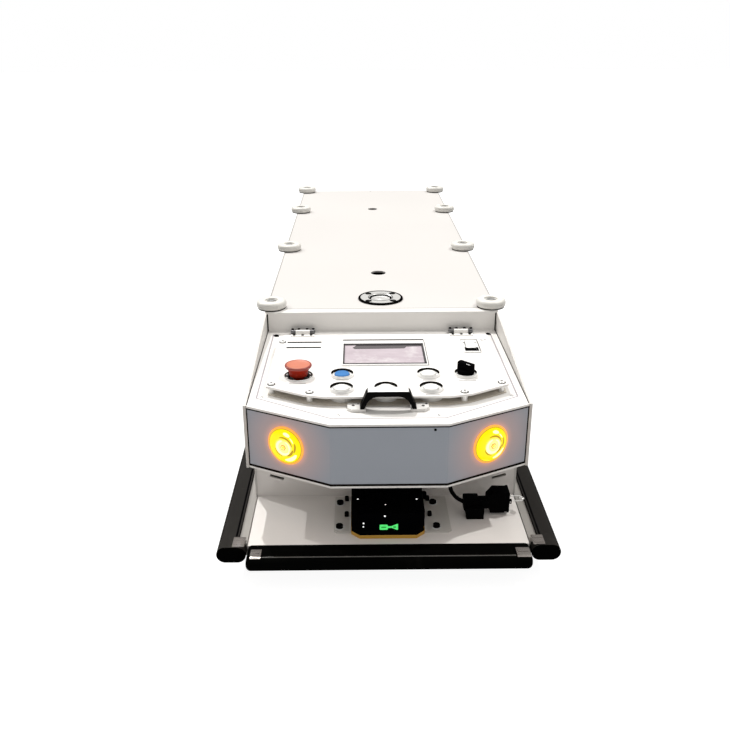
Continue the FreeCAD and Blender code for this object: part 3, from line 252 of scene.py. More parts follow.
def lens_material():
    """amber lens: brightness follows the distance from the lamp's own axis"""
    m = pm("lens_amber", (0.20, 0.12, 0.0), 0.16, var=0.04, vscale=90, bump=0.05, bscale=350, spec=0.2)
    nt = m.node_tree
    b = nt.nodes["Principled BSDF"]
    tc = nt.nodes.new("ShaderNodeTexCoord")
    mp = nt.nodes.new("ShaderNodeMapping")
    mp.inputs["Scale"].default_value = (1, 1, 0)
    nt.links.new(tc.outputs["Object"], mp.inputs["Vector"])
    ns = nt.nodes.new("ShaderNodeTexNoise")
    ns.inputs["Scale"].default_value = 110
    nt.links.new(tc.outputs["Object"], ns.inputs["Vector"])
    ln = nt.nodes.new("ShaderNodeVectorMath")
    ln.operation = "LENGTH"
    nt.links.new(mp.outputs["Vector"], ln.inputs[0])
    ad = nt.nodes.new("ShaderNodeMath")
    ad.operation = "MULTIPLY_ADD"
    nt.links.new(ns.outputs["Fac"], ad.inputs[0])
    ad.inputs[1].default_value = 0.006
    nt.links.new(ln.outputs["Value"], ad.inputs[2])
    mr = nt.nodes.new("ShaderNodeMapRange")
    mr.inputs["From Min"].default_value = 0.003
    mr.inputs["From Max"].default_value = 0.032
    nt.links.new(ad.outputs[0], mr.inputs["Value"])
    cr = nt.nodes.new("ShaderNodeValToRGB")
    e = cr.color_ramp.elements
    e[0].position, e[0].color = 0.0, (0.86, 0.78, 0.05, 1)
    e[1].position, e[1].color = 1.0, (1.0, 0.66, 0.0, 1)
    for pos, c in ((0.16, (1.0, 0.98, 0.42, 1)), (0.34, (1.0, 1.0, 0.36, 1)), (0.50, (1.0, 0.93, 0.02, 1)), (0.86, (1.0, 0.95, 0.0, 1))):
        k = e.new(pos)
        k.color = c
    nt.links.new(mr.outputs["Result"], cr.inputs["Fac"])
    nt.links.new(cr.outputs["Color"], b.inputs["Emission Color"])
    b.inputs["Emission Strength"].default_value = 0.90
    return m


lens_m = lens_material()


def strap_highlight_material():
    """handle strap: the faces that look up are painted near-white as a painted highlight of the light above, black on
    the rest
    """
    m = pm("handle_black_with_highlight", (0.005, 0.005, 0.005), 0.34, var=0.2, vscale=60, bump=0.08, bscale=900, spec=0.15)
    nt = m.node_tree
    b = nt.nodes["Principled BSDF"]
    src = b.inputs["Base Color"].links[0].from_socket
    ge = nt.nodes.new("ShaderNodeNewGeometry")
    sp = nt.nodes.new("ShaderNodeSeparateXYZ")
    nt.links.new(ge.outputs["Normal"], sp.inputs[0])
    tc = nt.nodes.new("ShaderNodeTexCoord")
    tn = nt.nodes.new("ShaderNodeSeparateXYZ")
    nt.links.new(tc.outputs["Normal"], tn.inputs[0])
    mr = nt.nodes.new("ShaderNodeMapRange")
    mr.inputs["From Min"].default_value = 0.80
    mr.inputs["From Max"].default_value = 0.97
    nt.links.new(tn.outputs["Z"], mr.inputs["Value"])
    mx = nt.nodes.new("ShaderNodeMix")
    mx.data_type = "RGBA"
    nt.links.new(mr.outputs["Result"], mx.inputs[0])
    nt.links.new(src, mx.inputs[6])
    mx.inputs[7].default_value = (0.86, 0.86, 0.85, 1)
    nt.links.new(mx.outputs[2], b.inputs["Base Color"])
    nt.nodes.remove(ge)
    nt.nodes.remove(sp)
    return m


strap_highlight_m = strap_highlight_material()
steeldark = pm("steel_wire", (0.16, 0.16, 0.165), 0.30, metal=0.8, var=0.12, vscale=90, bump=0.1, bscale=900)
# brown-grey for the pad under the control plate: painted shade
pad_gap_shade_m = pm("pad_gap_shade", (0.60, 0.555, 0.485), 0.9, var=0.05, vscale=30, bump=0.3, bscale=1600)
# side panels: a darker copy of the white paint, painted shade
paint_side = pm("paint_side", (0.62, 0.603, 0.58), 0.45, var=0.02, vscale=3, bump=0.08, bscale=900)
hubgrey = pm("hub_grey", (0.24, 0.24, 0.235), 0.35, metal=0.3, var=0.1, vscale=80, bump=0.1)
# deck: a darker copy of the white paint, painted shade that tones down the strongly lit top
paint_deck = pm("paint_deck", (0.60, 0.585, 0.572), 0.45, var=0.02, vscale=3, bump=0.08, bscale=900)
# grey for the deck's front seam, a real joint, and painted shade along the deck's side edges and in one small hole
deck_seam_and_edge_shade_m = pm("deck_edge_line", (0.36, 0.35, 0.335), 0.8, spec=0.1, var=0.05)
seam_m = pm("seam_line", (0.34, 0.315, 0.34), 0.8, var=0.06, vscale=40, bump=0.1)

SLOT = {"white_paint": paint, "grey_panel": fascia_m, "black_steel": blacksteel, "safety_rubber": rubber, "white_nylon": nylon,
        "steel": steel, "chrome": chrome, "black_plastic": blackpl, "scanner_black": blackgloss, "amber_lens": lens_m,
        "red_plastic": red_shaded_stem, "blue_plastic": bluecap, "white_plastic": whiteplast, "grey_plastic": housing, "cable_jacket": jacket,
        "tyre": tyre_m, "battery_case": battery_m, "zinc_steel": zinc, "screen": screen_reflection_m, "alloy": alloy_m}
NODE_MAT = {"deck_plate": paint_deck, "side_panels": paint_side, "bay_floor": paint_bay, "bay_wall": paint_bay, "scanner_bracket": paint_shade, "base_frame": paint_ledge,
            "bumper_sides": rubber_side, "tow_flange": satin, "button_cap_blue": bluecap, "selector_knob": blackpl, "rocker": blackgloss,
            "hinge_leaves": steeldark, "standoffs": whitemetal, "socket_bail": satin}
for _n in N:
    if _n.startswith("button_cap_") and _n != "button_cap_blue":
        NODE_MAT[_n] = clearcap
for _n, _o in N.items():
    for _i, _m in enumerate(list(_o.data.materials)):
        _o.data.materials[_i] = NODE_MAT.get(_n) or SLOT.get(_m.name.split(".")[0], paint)


# ------------------------------------------------------------------ mesh helpers (all in millimetres, through P)
def finish_piece(name, bm, mats, body, rep=(), angle=32, bevel=0.0, seg=2, local=None):
    bmesh.ops.remove_doubles(bm, verts=bm.verts, dist=1e-7)
    bmesh.ops.recalc_face_normals(bm, faces=bm.faces)
    me = bpy.data.meshes.new(name)
    bm.to_mesh(me)
    bm.free()
    me.polygons.foreach_set("use_smooth", [True] * len(me.polygons))
    me.set_sharp_from_angle(angle=math.radians(angle))
    o = bpy.data.objects.new(name, me)
    scene.collection.objects.link(o)
    for m in (mats if isinstance(mats, (list, tuple)) else [mats]):
        me.materials.append(m)
    if local is not None:
        o.matrix_world = local
    if bevel:
        md = o.modifiers.new("edge", "BEVEL")
        md.width = bevel / 1000
        md.segments = seg
        md.limit_method = "ANGLE"
        md.angle_limit = math.radians(38)
        md.harden_normals = True
    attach(o, body)
    if rep:
        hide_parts(*rep)
    return o


def a_box(bm, x0, x1, y0, y1, z0, z1, mi=0):
    v = [bm.verts.new(P(x, y, z)) for x in (x0, x1) for y in (y0, y1) for z in (z0, z1)]
    for f in ((0, 1, 3, 2), (4, 6, 7, 5), (0, 4, 5, 1), (2, 3, 7, 6), (0, 2, 6, 4), (1, 5, 7, 3)):
        bm.faces.new([v[i] for i in f]).material_index = mi


def a_prism(bm, pts, z0, z1, mi=0, inset=0.0, drop=0.0, mtop=None):
    """outline in x,y; optional chamfer of the top edge"""
    n = len(pts)
    cx, cy = sum(p[0] for p in pts) / n, sum(p[1] for p in pts) / n
    rings = [[bm.verts.new(P(x, y, z0)) for x, y in pts]]
    if inset:
        rings.append([bm.verts.new(P(x, y, z1 - drop)) for x, y in pts])
        rings.append([bm.verts.new(P(x + (cx - x) * inset, y + (cy - y) * inset, z1)) for x, y in pts])
    else:
        rings.append([bm.verts.new(P(x, y, z1)) for x, y in pts])
    for a, b in zip(rings, rings[1:]):
        for i in range(n):
            j = (i + 1) % n
            bm.faces.new((a[i], a[j], b[j], b[i])).material_index = mi
    bm.faces.new(rings[0]).material_index = mi
    bm.faces.new(rings[-1]).material_index = mi if mtop is None else mtop


def a_extr(bm, pts, y0, y1, mi=0):
    """outline in x,z, extruded in y"""
    n = len(pts)
    a = [bm.verts.new(P(x, y0, z)) for x, z in pts]
    b = [bm.verts.new(P(x, y1, z)) for x, z in pts]
    for i in range(n):
        j = (i + 1) % n
        bm.faces.new((a[i], a[j], b[j], b[i])).material_index = mi
    bm.faces.new(a).material_index = mi
    bm.faces.new(b).material_index = mi


def a_extx(bm, pts, x0, x1, mi=0):
    """outline in y,z, extruded in x"""
    n = len(pts)
    a = [bm.verts.new(P(x0, y, z)) for y, z in pts]
    b = [bm.verts.new(P(x1, y, z)) for y, z in pts]
    for i in range(n):
        j = (i + 1) % n
        bm.faces.new((a[i], a[j], b[j], b[i])).material_index = mi
    bm.faces.new(a).material_index = mi
    bm.faces.new(b).material_index = mi


def a_lathe(bm, c, prof, seg=48, mi=0, mis=None, axis="z", raw=False):
    """revolves (radius, height) pairs round an axis through c; mis gives a material per span"""
    def pt(r, h, t):
        u, v = r * math.cos(t), r * math.sin(t)
        if raw:
            return Vector((u / 1000, v / 1000, h / 1000))
        if axis == "z":
            return P(c[0] + u, c[1] + v, c[2] + h)
        if axis == "x":
            return P(c[0] + h, c[1] + u, c[2] + v)
        return P(c[0] + u, c[1] - h, c[2] + v)       # y: height towards the front
    prev = None
    for k, (r, h) in enumerate(prof):
        ring = [bm.verts.new(pt(0, h, 0))] if r < 1e-6 else [bm.verts.new(pt(r, h, 2 * math.pi * i / seg)) for i in range(seg)]
        if prev is not None:
            m = mis[k - 1] if mis else mi
            for i in range(seg):
                j = (i + 1) % seg
                if len(prev) == 1 and len(ring) == 1:
                    break
                if len(prev) == 1:
                    f = (prev[0], ring[i], ring[j])
                elif len(ring) == 1:
                    f = (prev[i], ring[0], prev[j])
                else:
                    f = (prev[i], ring[i], ring[j], prev[j])
                bm.faces.new(f).material_index = m
        prev = ring
    return bm


def a_tube(bm, pts, r, seg=10, mi=0, flat=1.0):
    """round bar along points (mm in the P frame), closed at both ends"""
    pts = [Vector(p) for p in pts]
    prev, ref = None, None
    for i, p in enumerate(pts):
        t = (pts[min(i + 1, len(pts) - 1)] - pts[max(i - 1, 0)]).normalized()
        if ref is None:
            ref = Vector((0, 0, 1)) if abs(t.z) < 0.9 else Vector((0, 1, 0))
        u = (ref - t * ref.dot(t)).normalized()
        v = t.cross(u)
        ref = u
        ring = []
        for k in range(seg):
            a = 2 * math.pi * k / seg
            q = p + u * (r * flat * math.cos(a)) + v * (r * math.sin(a))
            ring.append(bm.verts.new(P(*q)))
        if prev:
            for k in range(seg):
                j = (k + 1) % seg
                bm.faces.new((prev[k], ring[k], ring[j], prev[j])).material_index = mi
        else:
            bm.faces.new(ring).material_index = mi
        prev = ring
    bm.faces.new(prev).material_index = mi


def arc2(cx, cy, r, a0, a1, n):
    return [(cx + r * math.cos(math.radians(a0 + (a1 - a0) * i / n)), cy + r * math.sin(math.radians(a0 + (a1 - a0) * i / n))) for i in range(n + 1)]


def rrect(x0, x1, y0, y1, r, n=5):
    return (arc2(x1 - r, y0 + r, r, -90, 0, n) + arc2(x1 - r, y1 - r, r, 0, 90, n) +
            arc2(x0 + r, y1 - r, r, 90, 180, n) + arc2(x0 + r, y0 + r, r, 180, 270, n))


B = bmesh.new


def centre(node):
    """middle of a node's box, x and y in millimetres, and its top"""
    lo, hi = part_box(node)
    return (lo.x + hi.x) * 500, ((lo.y + hi.y) / 2 - NOSE) * 1000, hi.z * 1000

# ------------------------------------------------------------------ deck
for sx in (-1, 1):
    side = "left" if sx < 0 else "right"
    bm = B()
    # grey strip along the deck's side edge: painted shade of the rounded edge
    a_box(bm, *sorted((sx * 199.9, sx * 202.0)), 389.5, 1535.5, 269.0, 270.35)                    # deck edge line
    finish_piece("deck_edge_" + side, bm, deck_seam_and_edge_shade_m, "chassis")
    bm = B()
    a_box(bm, *sorted((sx * 196.9, sx * 198.9)), 369.75, 371, 235.2, 266.8)                     # dark joint at the riser's end
    a_box(bm, *sorted((sx * 197.7, sx * 198.9)), 64, 371, 234.6, 235.12)                        # joint along the head's side
    finish_piece("side_gap_" + side, bm, darkgap, "chassis")
bm = B()
a_box(bm, -186, 186, 387.5, 389.9, 269.3, 270.12)
# dark disc over the small hole near the back: painted shade in the hole
a_lathe(bm, (-2, 1529, 270), [(3.0, 0.0), (3.0, 0.2), (0, 0.25)], seg=20)
finish_piece("deck_seam", bm, deck_seam_and_edge_shade_m, "chassis")

for _n in [n for n in N if n.startswith("roller_")]:
    lo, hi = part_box(_n)
    c = ((lo.x + hi.x) * 500, ((lo.y + hi.y) / 2 - NOSE) * 1000, lo.z * 1000)
    R = (hi.x - lo.x) * 500
    prof = [(9.2, 0.2), (R - 4.4, 0.0), (R - 2.0, 0.9), (R - 0.5, 3.0), (R, 5.4), (R, 6.3), (R - 0.35, 6.7), (R, 7.1), (R - 0.2, 9.6),
            (R - 1.3, 11.9), (R - 3.4, 13.4), (R - 6.2, 14.0), (12.6, 14.0), (11.4, 13.6), (11.0, 12.8), (11.0, 11.6), (9.2, 11.4), (9.2, 0.2)]
    finish_piece(_n + "_tread", a_lathe(B(), c, prof, seg=64), nylon, _n, rep=(_n,), angle=50)
    # dark ring under each roller: painted contact shade between roller and deck
    finish_piece("roller_contact_shade_" + _n[7:], a_lathe(B(), (c[0], c[1], 270), [(R - 6.5, 0.05), (R - 2.2, 0.05), (R - 2.0, 0.4), (R - 2.6, 0.85), (R - 6.5, 0.85), (R - 6.5, 0.05)], seg=56), blackpl, "chassis", angle=50)
    bm = a_lathe(B(), (c[0], c[1], 283.2), [(8.1, -2.0), (8.1, -0.2), (7.4, 0.12), (3.6, 0.14), (3.4, -0.4), (0, -0.5)], seg=36, mis=[0, 0, 0, 1, 1])
    finish_piece("roller_bolt_" + _n[7:], bm, [hubgrey, blacksteel], "chassis")

# tow flange: black ring round its rim, a black bore lining that is painted shade, and four black socket screws
fx = 0.0
FC = (0.0, 446.0)
bm = a_lathe(B(), (FC[0], FC[1], 270), [(39.02, 0.02), (40.4, 0.02), (40.4, 2.4), (39.4, 3.3), (36.6, 3.35), (36.2, 2.9), (39.02, 2.9), (39.02, 0.02)], seg=96)
finish_piece("flange_black_ring", bm, blackpl, "chassis", angle=50)
# black lining of the bore round the pin: painted shade of the bore's far wall
bm = a_lathe(B(), (FC[0], FC[1], 270), [(17.7, -12), (20.45, -12), (22.9, 3.05), (22.2, 3.4), (20.0, 1.0), (17.7, -0.5), (17.7, -12)], seg=72)
finish_piece("flange_bore_shade", bm, blackgloss, "chassis", angle=50)
bm = a_lathe(B(), (FC[0], FC[1], 270), [(23.0, 3.0), (23.4, 3.18), (25.0, 3.1), (25.4, 2.98)], seg=72)
for k in range(4):
    a = math.radians(45 + 90 * k)
    a_lathe(bm, (FC[0] + 31 * math.cos(a), FC[1] + 31 * math.sin(a), 272.9), [(5.9, -1.2), (5.9, 0.25), (5.3, 0.6), (2.7, 0.6), (2.5, -0.6), (0, -0.6)], seg=28, mi=1)
finish_piece("flange_screws", bm, [satin, blacksteel], "chassis")
bm = B()
a_lathe(bm, (FC[0], FC[1], 270), [(17.3, -0.6), (16.9, 0.25), (12.2, 0.45), (11.8, 0.2), (7.2, 0.3), (6.8, 0.55), (0, 0.6)], seg=64)
finish_piece("pin_crown", bm, satin, "tow_pin", angle=50)

# ------------------------------------------------------------------ lid: small screws, corner studs, label strips
bm = B()
for x, y in ((-179.8, 91.5), (-69, 29.8), (68, 27.4), (178.8, 91.2)):
    a_lathe(bm, (x, y, 235), [(2.6, 0.0), (2.5, 0.5), (1.5, 0.8), (0.9, 0.8), (0.8, 0.3), (0, 0.3)], seg=20, mis=[1, 0, 0, 1, 1])
finish_piece("lid_screws", bm, [satin, greyplast], "lid")
bm = B()
for x, y, w in ((-181.5, 347.5, 4.2), (183.0, 350.0, 3.6)):
    a_lathe(bm, (x, y, 235), [(w, 0.0), (w, 0.9), (w - 0.8, 1.7), (1.0, 1.9), (0.8, 1.2), (0, 1.2)], seg=24)
    a_box(bm, x - 1.4, x + 4.4, y - 4.5, y - 3.0, 235, 236.1)
finish_piece("lid_corner_studs", bm, blackpl, "lid")
bm = B()
for x, y, w in ((-64.5, 118.2, 9.6), (62.5, 115.6, 10.2), (-64.0, 64.6, 9.6), (62.8, 64.2, 10), (117.5, 112.5, 12.5), (-129, 106.0, 12)):
    a_prism(bm, rrect(x - w, x + w, y - 1.8, y + 1.8, 0.7, 3), 249.4, 249.85)
for x0_, x1_ in ((-66, 66),):
    a_prism(bm, rrect(x0_, x1_, 283.8, 287.6, 0.7, 3), 249.4, 249.85, 1)
finish_piece("label_strips", bm, [label_m, greyplast], "lid")
bm = B()
for x, y in ((-164.5, 278), (-166.5, 104.5), (-110, 75), (108.5, 73), (166, 105.5)):
    a_lathe(bm, (x, y, 249.5), [(5.9, 0), (5.8, 0.7), (4.9, 0.8), (4.6, 0.05)], seg=28, mi=0)
    a_lathe(bm, (x, y, 251.1), [(4.1, -1.2), (4.1, 0.3), (3.3, 0.75), (1.8, 0.8), (1.6, 0.2), (0, 0.2)], seg=28, mis=[1, 1, 1, 0, 0])
for x, y in ((161.4, 281.3), (166.8, 281.6)):
    a_lathe(bm, (x, y, 249.5), [(2.1, 0), (2.1, 1.1), (1.2, 1.7), (0, 1.7)], seg=20, mi=0)
finish_piece("plate_screw_rings", bm, [greyplast, whitemetal], "lid")
lo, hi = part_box("control_plate")
# dark fill in the two slots of the control plate: painted shade inside the slots
bm = B()
for y0, y1 in ((249.8, 255.0), (273.7, 279.0)):
    a_box(bm, -156.4, -101.0, y0, y1, 246.7, 249.75)
finish_piece("slot_shade_fill", bm, darkgap, "lid")
# brown-grey pad under the control plate's edge: its colour is painted shade, the dark band in the gap beneath the plate
bm = B()
a_prism(bm, [(-171.5, 98.5), (-117.0, 67.6), (-87, 60.0), (87, 60.0), (117, 67.5), (173, 100.9), (171, 290), (-171, 290)], 235.02, 236.6)
finish_piece("under_plate_pad", bm, pad_gap_shade_m, "lid")
bm = B()
LIDP = [(-187.0, 354.8), (-187.0, 88.3), (-78.2, 19.5), (78.2, 19.5), (187.0, 88.3), (187.0, 354.8)]
for (xa, ya), (xb, yb) in zip(LIDP, LIDP[1:]):
    L = math.hypot(xb - xa, yb - ya)
    nx, ny = -(yb - ya) / L * 1.1, (xb - xa) / L * 1.1
    vs = [bm.verts.new(P(x, y, zz)) for x, y in ((xa - nx, ya - ny), (xb - nx, yb - ny), (xb + nx, yb + ny), (xa + nx, ya + ny)) for zz in (234.2, 235.08)]
    for f in ((0, 2, 3, 1), (2, 4, 5, 3), (4, 6, 7, 5), (6, 0, 1, 7), (0, 6, 4, 2), (1, 3, 5, 7)):
        bm.faces.new([vs[i] for i in f])
finish_piece("lid_seam", bm, seam_m, "chassis")
# hinge details: black pins and leaf screws
bm = B()
for sx in (-1, 1):
    for x in (118.5, 129.5, 143.5, 154.5):
        a_lathe(bm, (sx * x, 361.6, 235), [(2.3, 0.0), (2.3, 8.25), (1.4, 8.6), (0, 8.6)], seg=16, mi=0)
    for x in (124.0, 149.0):
        a_lathe(bm, (sx * x, 366.0, 235), [(2.6, 0.0), (2.6, 1.6), (1.8, 2.3), (0, 2.3)], seg=16, mi=0)
finish_piece("hinge_screws", bm, blacksteel, "chassis")
bm = B()
for sx in (-1, 1):
    for x in (122.0, 136.5, 151.0):
        a_lathe(bm, (sx * x, 346.8, 235), [(2.6, 0.0), (2.6, 1.8), (1.8, 2.4), (0, 2.4)], seg=16, mi=0)
finish_piece("hinge_lid_screws", bm, blacksteel, "lid")

# ------------------------------------------------------------------ buttons, selector, stop button
BTN = [(k,) + centre("button_cap_" + k)[:2] for k in ("blue", "right_back", "left_front", "centre_front", "right_front")]
EX, EY, _z = centre("estop_head")
KX, KY, _z = centre("selector_knob")
RING = [(0, 214), (13.5, 214), (13.5, 236), (17, 236), (17, 246.5), (14, 246.5), (14, 249.5), (17.3, 249.5), (17.3, 253.0), (16.9, 254.0), (16.4, 254.1),
        (16.2, 253.8), (15.6, 250.2), (12.2, 251.3), (11.4, 251.0), (11.4, 241), (0, 241)]
RMI = [2, 2, 2, 3, 2, 0, 0, 0, 0, 0, 1, 1, 0, 0, 1, 1]
bm = B()
for n_, x, y in BTN:
    a_lathe(bm, (x, y, 0), RING, seg=72, mis=RMI)
finish_piece("button_bezels", bm, [whitemetal, darkgap, clearcap, whiteplast], "lid", rep=("button_rings",), angle=40)
bm = a_lathe(B(), (KX, KY, 0), RING[:12] + [(15.6, 250.2), (12.9, 251.3), (12.6, 252.0), (5.05, 252.0), (5.05, 244), (0, 244)], seg=72,
             mis=RMI[:11] + [1, 0, 0, 1, 1, 1])
finish_piece("selector_bezel", bm, [whitemetal, darkgap, clearcap, whiteplast], "lid", rep=("selector_base",), angle=40)
bm = a_lathe(B(), (EX, EY, 0), [(0, 205), (14, 205), (14, 236), (18.5, 236), (18.5, 246.5), (15.8, 246.5), (15.8, 249.5), (22, 249.5), (22, 251.2), (21.4, 252),
                                    (20.8, 252), (20.6, 250.4), (15.4, 250.2), (15.2, 246), (8.4, 246), (8.4, 238), (0, 238)], seg=72,
             mis=[1, 1, 1, 2, 1, 0, 0, 0, 0, 0, 1, 1, 1, 1, 1, 1])
for a0 in (20, 110, 160, 200, 250, 340):
    for k in range(3):
        a = math.radians(a0 + k * 5)
        a_lathe(bm, (EX + 18.2 * math.cos(a), EY + 18.2 * math.sin(a), 250.2), [(0.9, 0), (0.9, 0.7), (0, 0.8)], seg=10, mi=0)
finish_piece("estop_collar", bm, [whitemetal, greyplast, whiteplast], "lid", rep=("estop_base",), angle=40)
# mushroom in three reds: lighter top as painted light, darker stem and lip as painted shade
bm = a_lathe(B(), (EX, EY, 0), [(0, 243), (8, 243), (8, 252), (13.2, 252), (13.6, 253), (14.0, 256.5), (15.2, 260.2), (17.2, 263.0), (19.0, 264.8), (19.8, 266.0), (20, 267.2),
                                    (19.7, 268.3), (19.0, 269.0), (18.2, 269.2), (17.2, 268.9), (14.5, 268.1), (10, 267.6), (0, 267.4)], seg=80,
             mis=[1, 1, 1, 1, 1, 1, 1, 1, 1, 2, 2, 2, 2, 2, 0, 0, 0])
finish_piece("estop_mushroom", bm, [red_lit_top, red_shaded_stem, red_shaded_lip], "estop", rep=("estop_head",), angle=60)
# rotary knob: skirt disc and waisted grip bar, turned to its rest position
bm = a_lathe(B(), (KX, KY, 0), [(0, 245), (5, 245), (5, 252.9), (12.4, 252.9), (12.4, 256.6), (11.6, 258), (0, 258)], seg=56)
ca, sa = math.cos(math.radians(135)), math.sin(math.radians(135))
half = [(-13.2, -3.6), (-11.8, -5.9), (-6, -5.6), (0, -5.5), (6, -5.6), (11.8, -5.9), (13.2, -3.6)]
outline = half + [(-u, -v) for u, v in half]
lvl = [(256.5, 1.0), (262, 0.96), (266.8, 0.94), (268.2, 0.88), (268.5, 0.80)]
prev = None
for z, s in lvl:
    ring = [bm.verts.new(P(KX + (u * ca - v * s * sa) * (1 if s > 0.9 else 0.98), KY + (u * sa + v * s * ca) * (1 if s > 0.9 else 0.98), z)) for u, v in outline]
    if prev:
        for i in range(len(ring)):
            j = (i + 1) % len(ring)
            bm.faces.new((prev[i], prev[j], ring[j], ring[i]))
    else:
        bm.faces.new(ring)
    prev = ring
bm.faces.new(prev)
finish_piece("selector_grip", bm, blackpl, "selector", rep=("selector_knob",), angle=40)
# white line along the grip's upper edge: painted highlight
bm = B()
a_tube(bm, [(KX - 11.2 * ca - 4.2 * sa, KY - 11.2 * sa + 4.2 * ca, 268.2), (KX - 4 * ca - 4.2 * sa, KY - 4 * sa + 4.2 * ca, 268.25)], 0.5, seg=8)
finish_piece("selector_edge_highlight", bm, whiteplast, "selector")

# ------------------------------------------------------------------ touch panel
lo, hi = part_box("touch_panel")
X0, X1, Y0, Y1, ZT = lo.x * 1000, hi.x * 1000, (lo.y - NOSE) * 1000, (hi.y - NOSE) * 1000, hi.z * 1000
bm = B()
a_box(bm, X0 + 6, X1 - 6, Y0 + 6, Y1 - 6, 207.5, 246.5, 1)
for x0, x1, y0, y1 in ((X0, X1, Y0, Y0 + 4), (X0, X1, Y1 - 16, Y1), (X0, X0 + 3.2, Y0 + 4, Y1 - 16), (X1 - 3.4, X1, Y0 + 4, Y1 - 16)):
    a_box(bm, x0, x1, y0, y1, 249.5, ZT, 0)
finish_piece("hmi_housing", bm, [whiteplast, housing], "lid", rep=("touch_panel",), bevel=0.5)
bm = B()
a_box(bm, X0 + 3.1, X1 - 3.3, Y0 + 3.9, Y1 - 15.9, 249.55, ZT - 1.2, 0)
finish_piece("hmi_glass", bm, screen_reflection_m, "lid")
bm = B()
gx0, gx1, gy0, gy1 = X0 + 3.2, X1 - 3.4, Y0 + 4.0, Y1 - 16.0
zt = ZT - 1.2
for x0, x1, y0, y1 in ((gx0 - 1.4, gx0 + 1.0, gy0, gy1), (gx1 - 2.2, gx1 + 1.0, gy0, gy1), (gx0 - 1.4, gx1 + 1.0, gy0 - 1.4, gy0 + 2.8), (gx0 - 1.4, gx1 + 1.0, gy1 - 3.6, gy1 + 1.4)):
    a_box(bm, x0, x1, y0, y1, zt, ZT + 0.12, 0)
# lines along the bezel's right and rear edges: painted shade
a_box(bm, X1 - 0.7, X1 + 0.4, Y0, Y1, ZT - 1, ZT + 0.1, 1)
a_box(bm, X0, X1, Y1 - 1.3, Y1 + 0.8, ZT - 1, ZT + 0.1, 1)
n_ = len(bm.verts)
# dark band along the rear of the screen: painted shade of the recess wall
a_prism(bm, [(gx0 + 20, gy1 - 3), (gx0 + 13, gy1 - 15), (gx0 + 17, gy1 - 21), (gx1 - 30, gy1 - 19), (gx1 - 26, gy1 - 11), (gx1 - 2, gy1 - 10), (gx1 - 2, gy1 - 3)], zt - 0.1, zt + 0.1, 1)
finish_piece("hmi_frame_lines", bm, [framegrey, screen_shade_grey], "lid")

# ------------------------------------------------------------------ rocker switch
lo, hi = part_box("rocker_frame")
RX0, RX1, RY0, RY1 = lo.x * 1000, hi.x * 1000, (lo.y - NOSE) * 1000, (hi.y - NOSE) * 1000
bm = B()
a_box(bm, RX0 - 0.6, RX1 - 0.4, RY1 - 2.2, RY1 + 0.4, 251.0, 251.75)
a_box(bm, RX1 - 1.2, RX1 + 0.4, RY0 + 2, RY1 - 0.3, 251.0, 251.75)
a_box(bm, RX0 + 2.4, RX1 - 2.4, RY1 - 14.5, RY1 - 12, 251.4, 251.8)
a_box(bm, RX0 + 4.4, RX0 + 5.2, RY0 + 3, RY1 - 12, 251.4, 251.7)
finish_piece("rocker_lines", bm, greyline, "lid")
lo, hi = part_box("rocker")
kx0, kx1, ky = lo.x * 1000, hi.x * 1000, ((lo.y + hi.y) / 2 - NOSE) * 1000
bm = B()
a_extx(bm, [(ky - 19, 245.5), (ky - 9.2, 243.4), (ky - 9.2, 251.1), (ky - 15, 250.75), (ky - 19.2, 250.9)], kx0, kx1, 0)
a_extx(bm, [(ky - 9.2, 243.4), (ky, 241.5), (ky + 19, 247.5), (ky + 19.2, 254.0), (ky, 252.1), (ky - 9.2, 251.4)], kx0, kx1, 1)
finish_piece("rocker_paddle", bm, [blackpl, whiteplast], "rocker", rep=("rocker",), angle=30, bevel=0.25)
# black strips round the paddle: painted shade of the gap in the switch's pocket
bm = B()
a_box(bm, kx0 - 3.6, kx1 + 3.6, ky - 24.0, ky - 19.6, 251.2, 251.8)
for xa, xb in ((kx0 - 3.6, kx0 - 0.3), (kx1 + 0.3, kx1 + 3.6)):
    a_box(bm, xa, xb, ky - 19.8, ky - 8.0, 251.2, 251.8)
finish_piece("rocker_gap_shade", bm, blackpl, "lid", bevel=0.3)

# ------------------------------------------------------------------ carrying handle
bm = B()
out_l = [(-39.6, 238.6), (-37.2, 245), (-34.2, 252.5), (-32.0, 258.4), (-30.6, 262.0), (-29.0, 264.2), (-26.8, 265.3), (-24, 265.5)]
in_l = [(-33.6, 238.6), (-31.6, 243.6), (-29.0, 248.6), (-25.8, 252.8), (-21.8, 255.7), (-17.0, 257.2), (-13, 257.5)]
outline = out_l + [(-x, z) for x, z in reversed(out_l)] + in_l[::-1][::-1] * 0 + [(-x, z) for x, z in in_l] + in_l[::-1]
a_extr(bm, outline, 38.4, 55.8)
finish_piece("handle_strap", bm, strap_highlight_m, "lid", rep=("handle",), angle=40, bevel=1.1, seg=3)
bm = B()
for sx in (-1, 1):
    pts = [(sx * 56.8, 45), (sx * 50.5, 38.2), (sx * 31, 38.2), (sx * 31, 61), (sx * 56.8, 61)]
    if sx > 0:
        pts = pts[::-1]
    a_prism(bm, pts, 235.1, 239.6, 0, inset=0.05, drop=0.8, mtop=0)
    a_lathe(bm, (sx * 48.5, 51.5 if sx < 0 else 49.0, 239.6), [(2.2, 0), (2.2, 0.5), (1.2, 0.9), (0, 0.5)], seg=18, mi=1)
    if sx > 0:
        a_lathe(bm, (55.0 - 1.5, 55.5, 239.6), [(1.8, 0), (1.8, 0.5), (1.0, 0.9), (0, 0.5)], seg=18, mi=1)
    else:
        a_lathe(bm, (-41.5, 56.5, 239.6), [(1.6, 0), (1.6, 0.5), (0.9, 0.8), (0, 0.5)], seg=18, mi=2)
foot_m = pm("handle_foot", (0.70, 0.69, 0.67), 0.4, metal=0.2, var=0.06, vscale=60, bump=0.1, bscale=1200)
finish_piece("handle_feet", bm, [foot_m, greyplast, greyline], "lid", bevel=0.4)

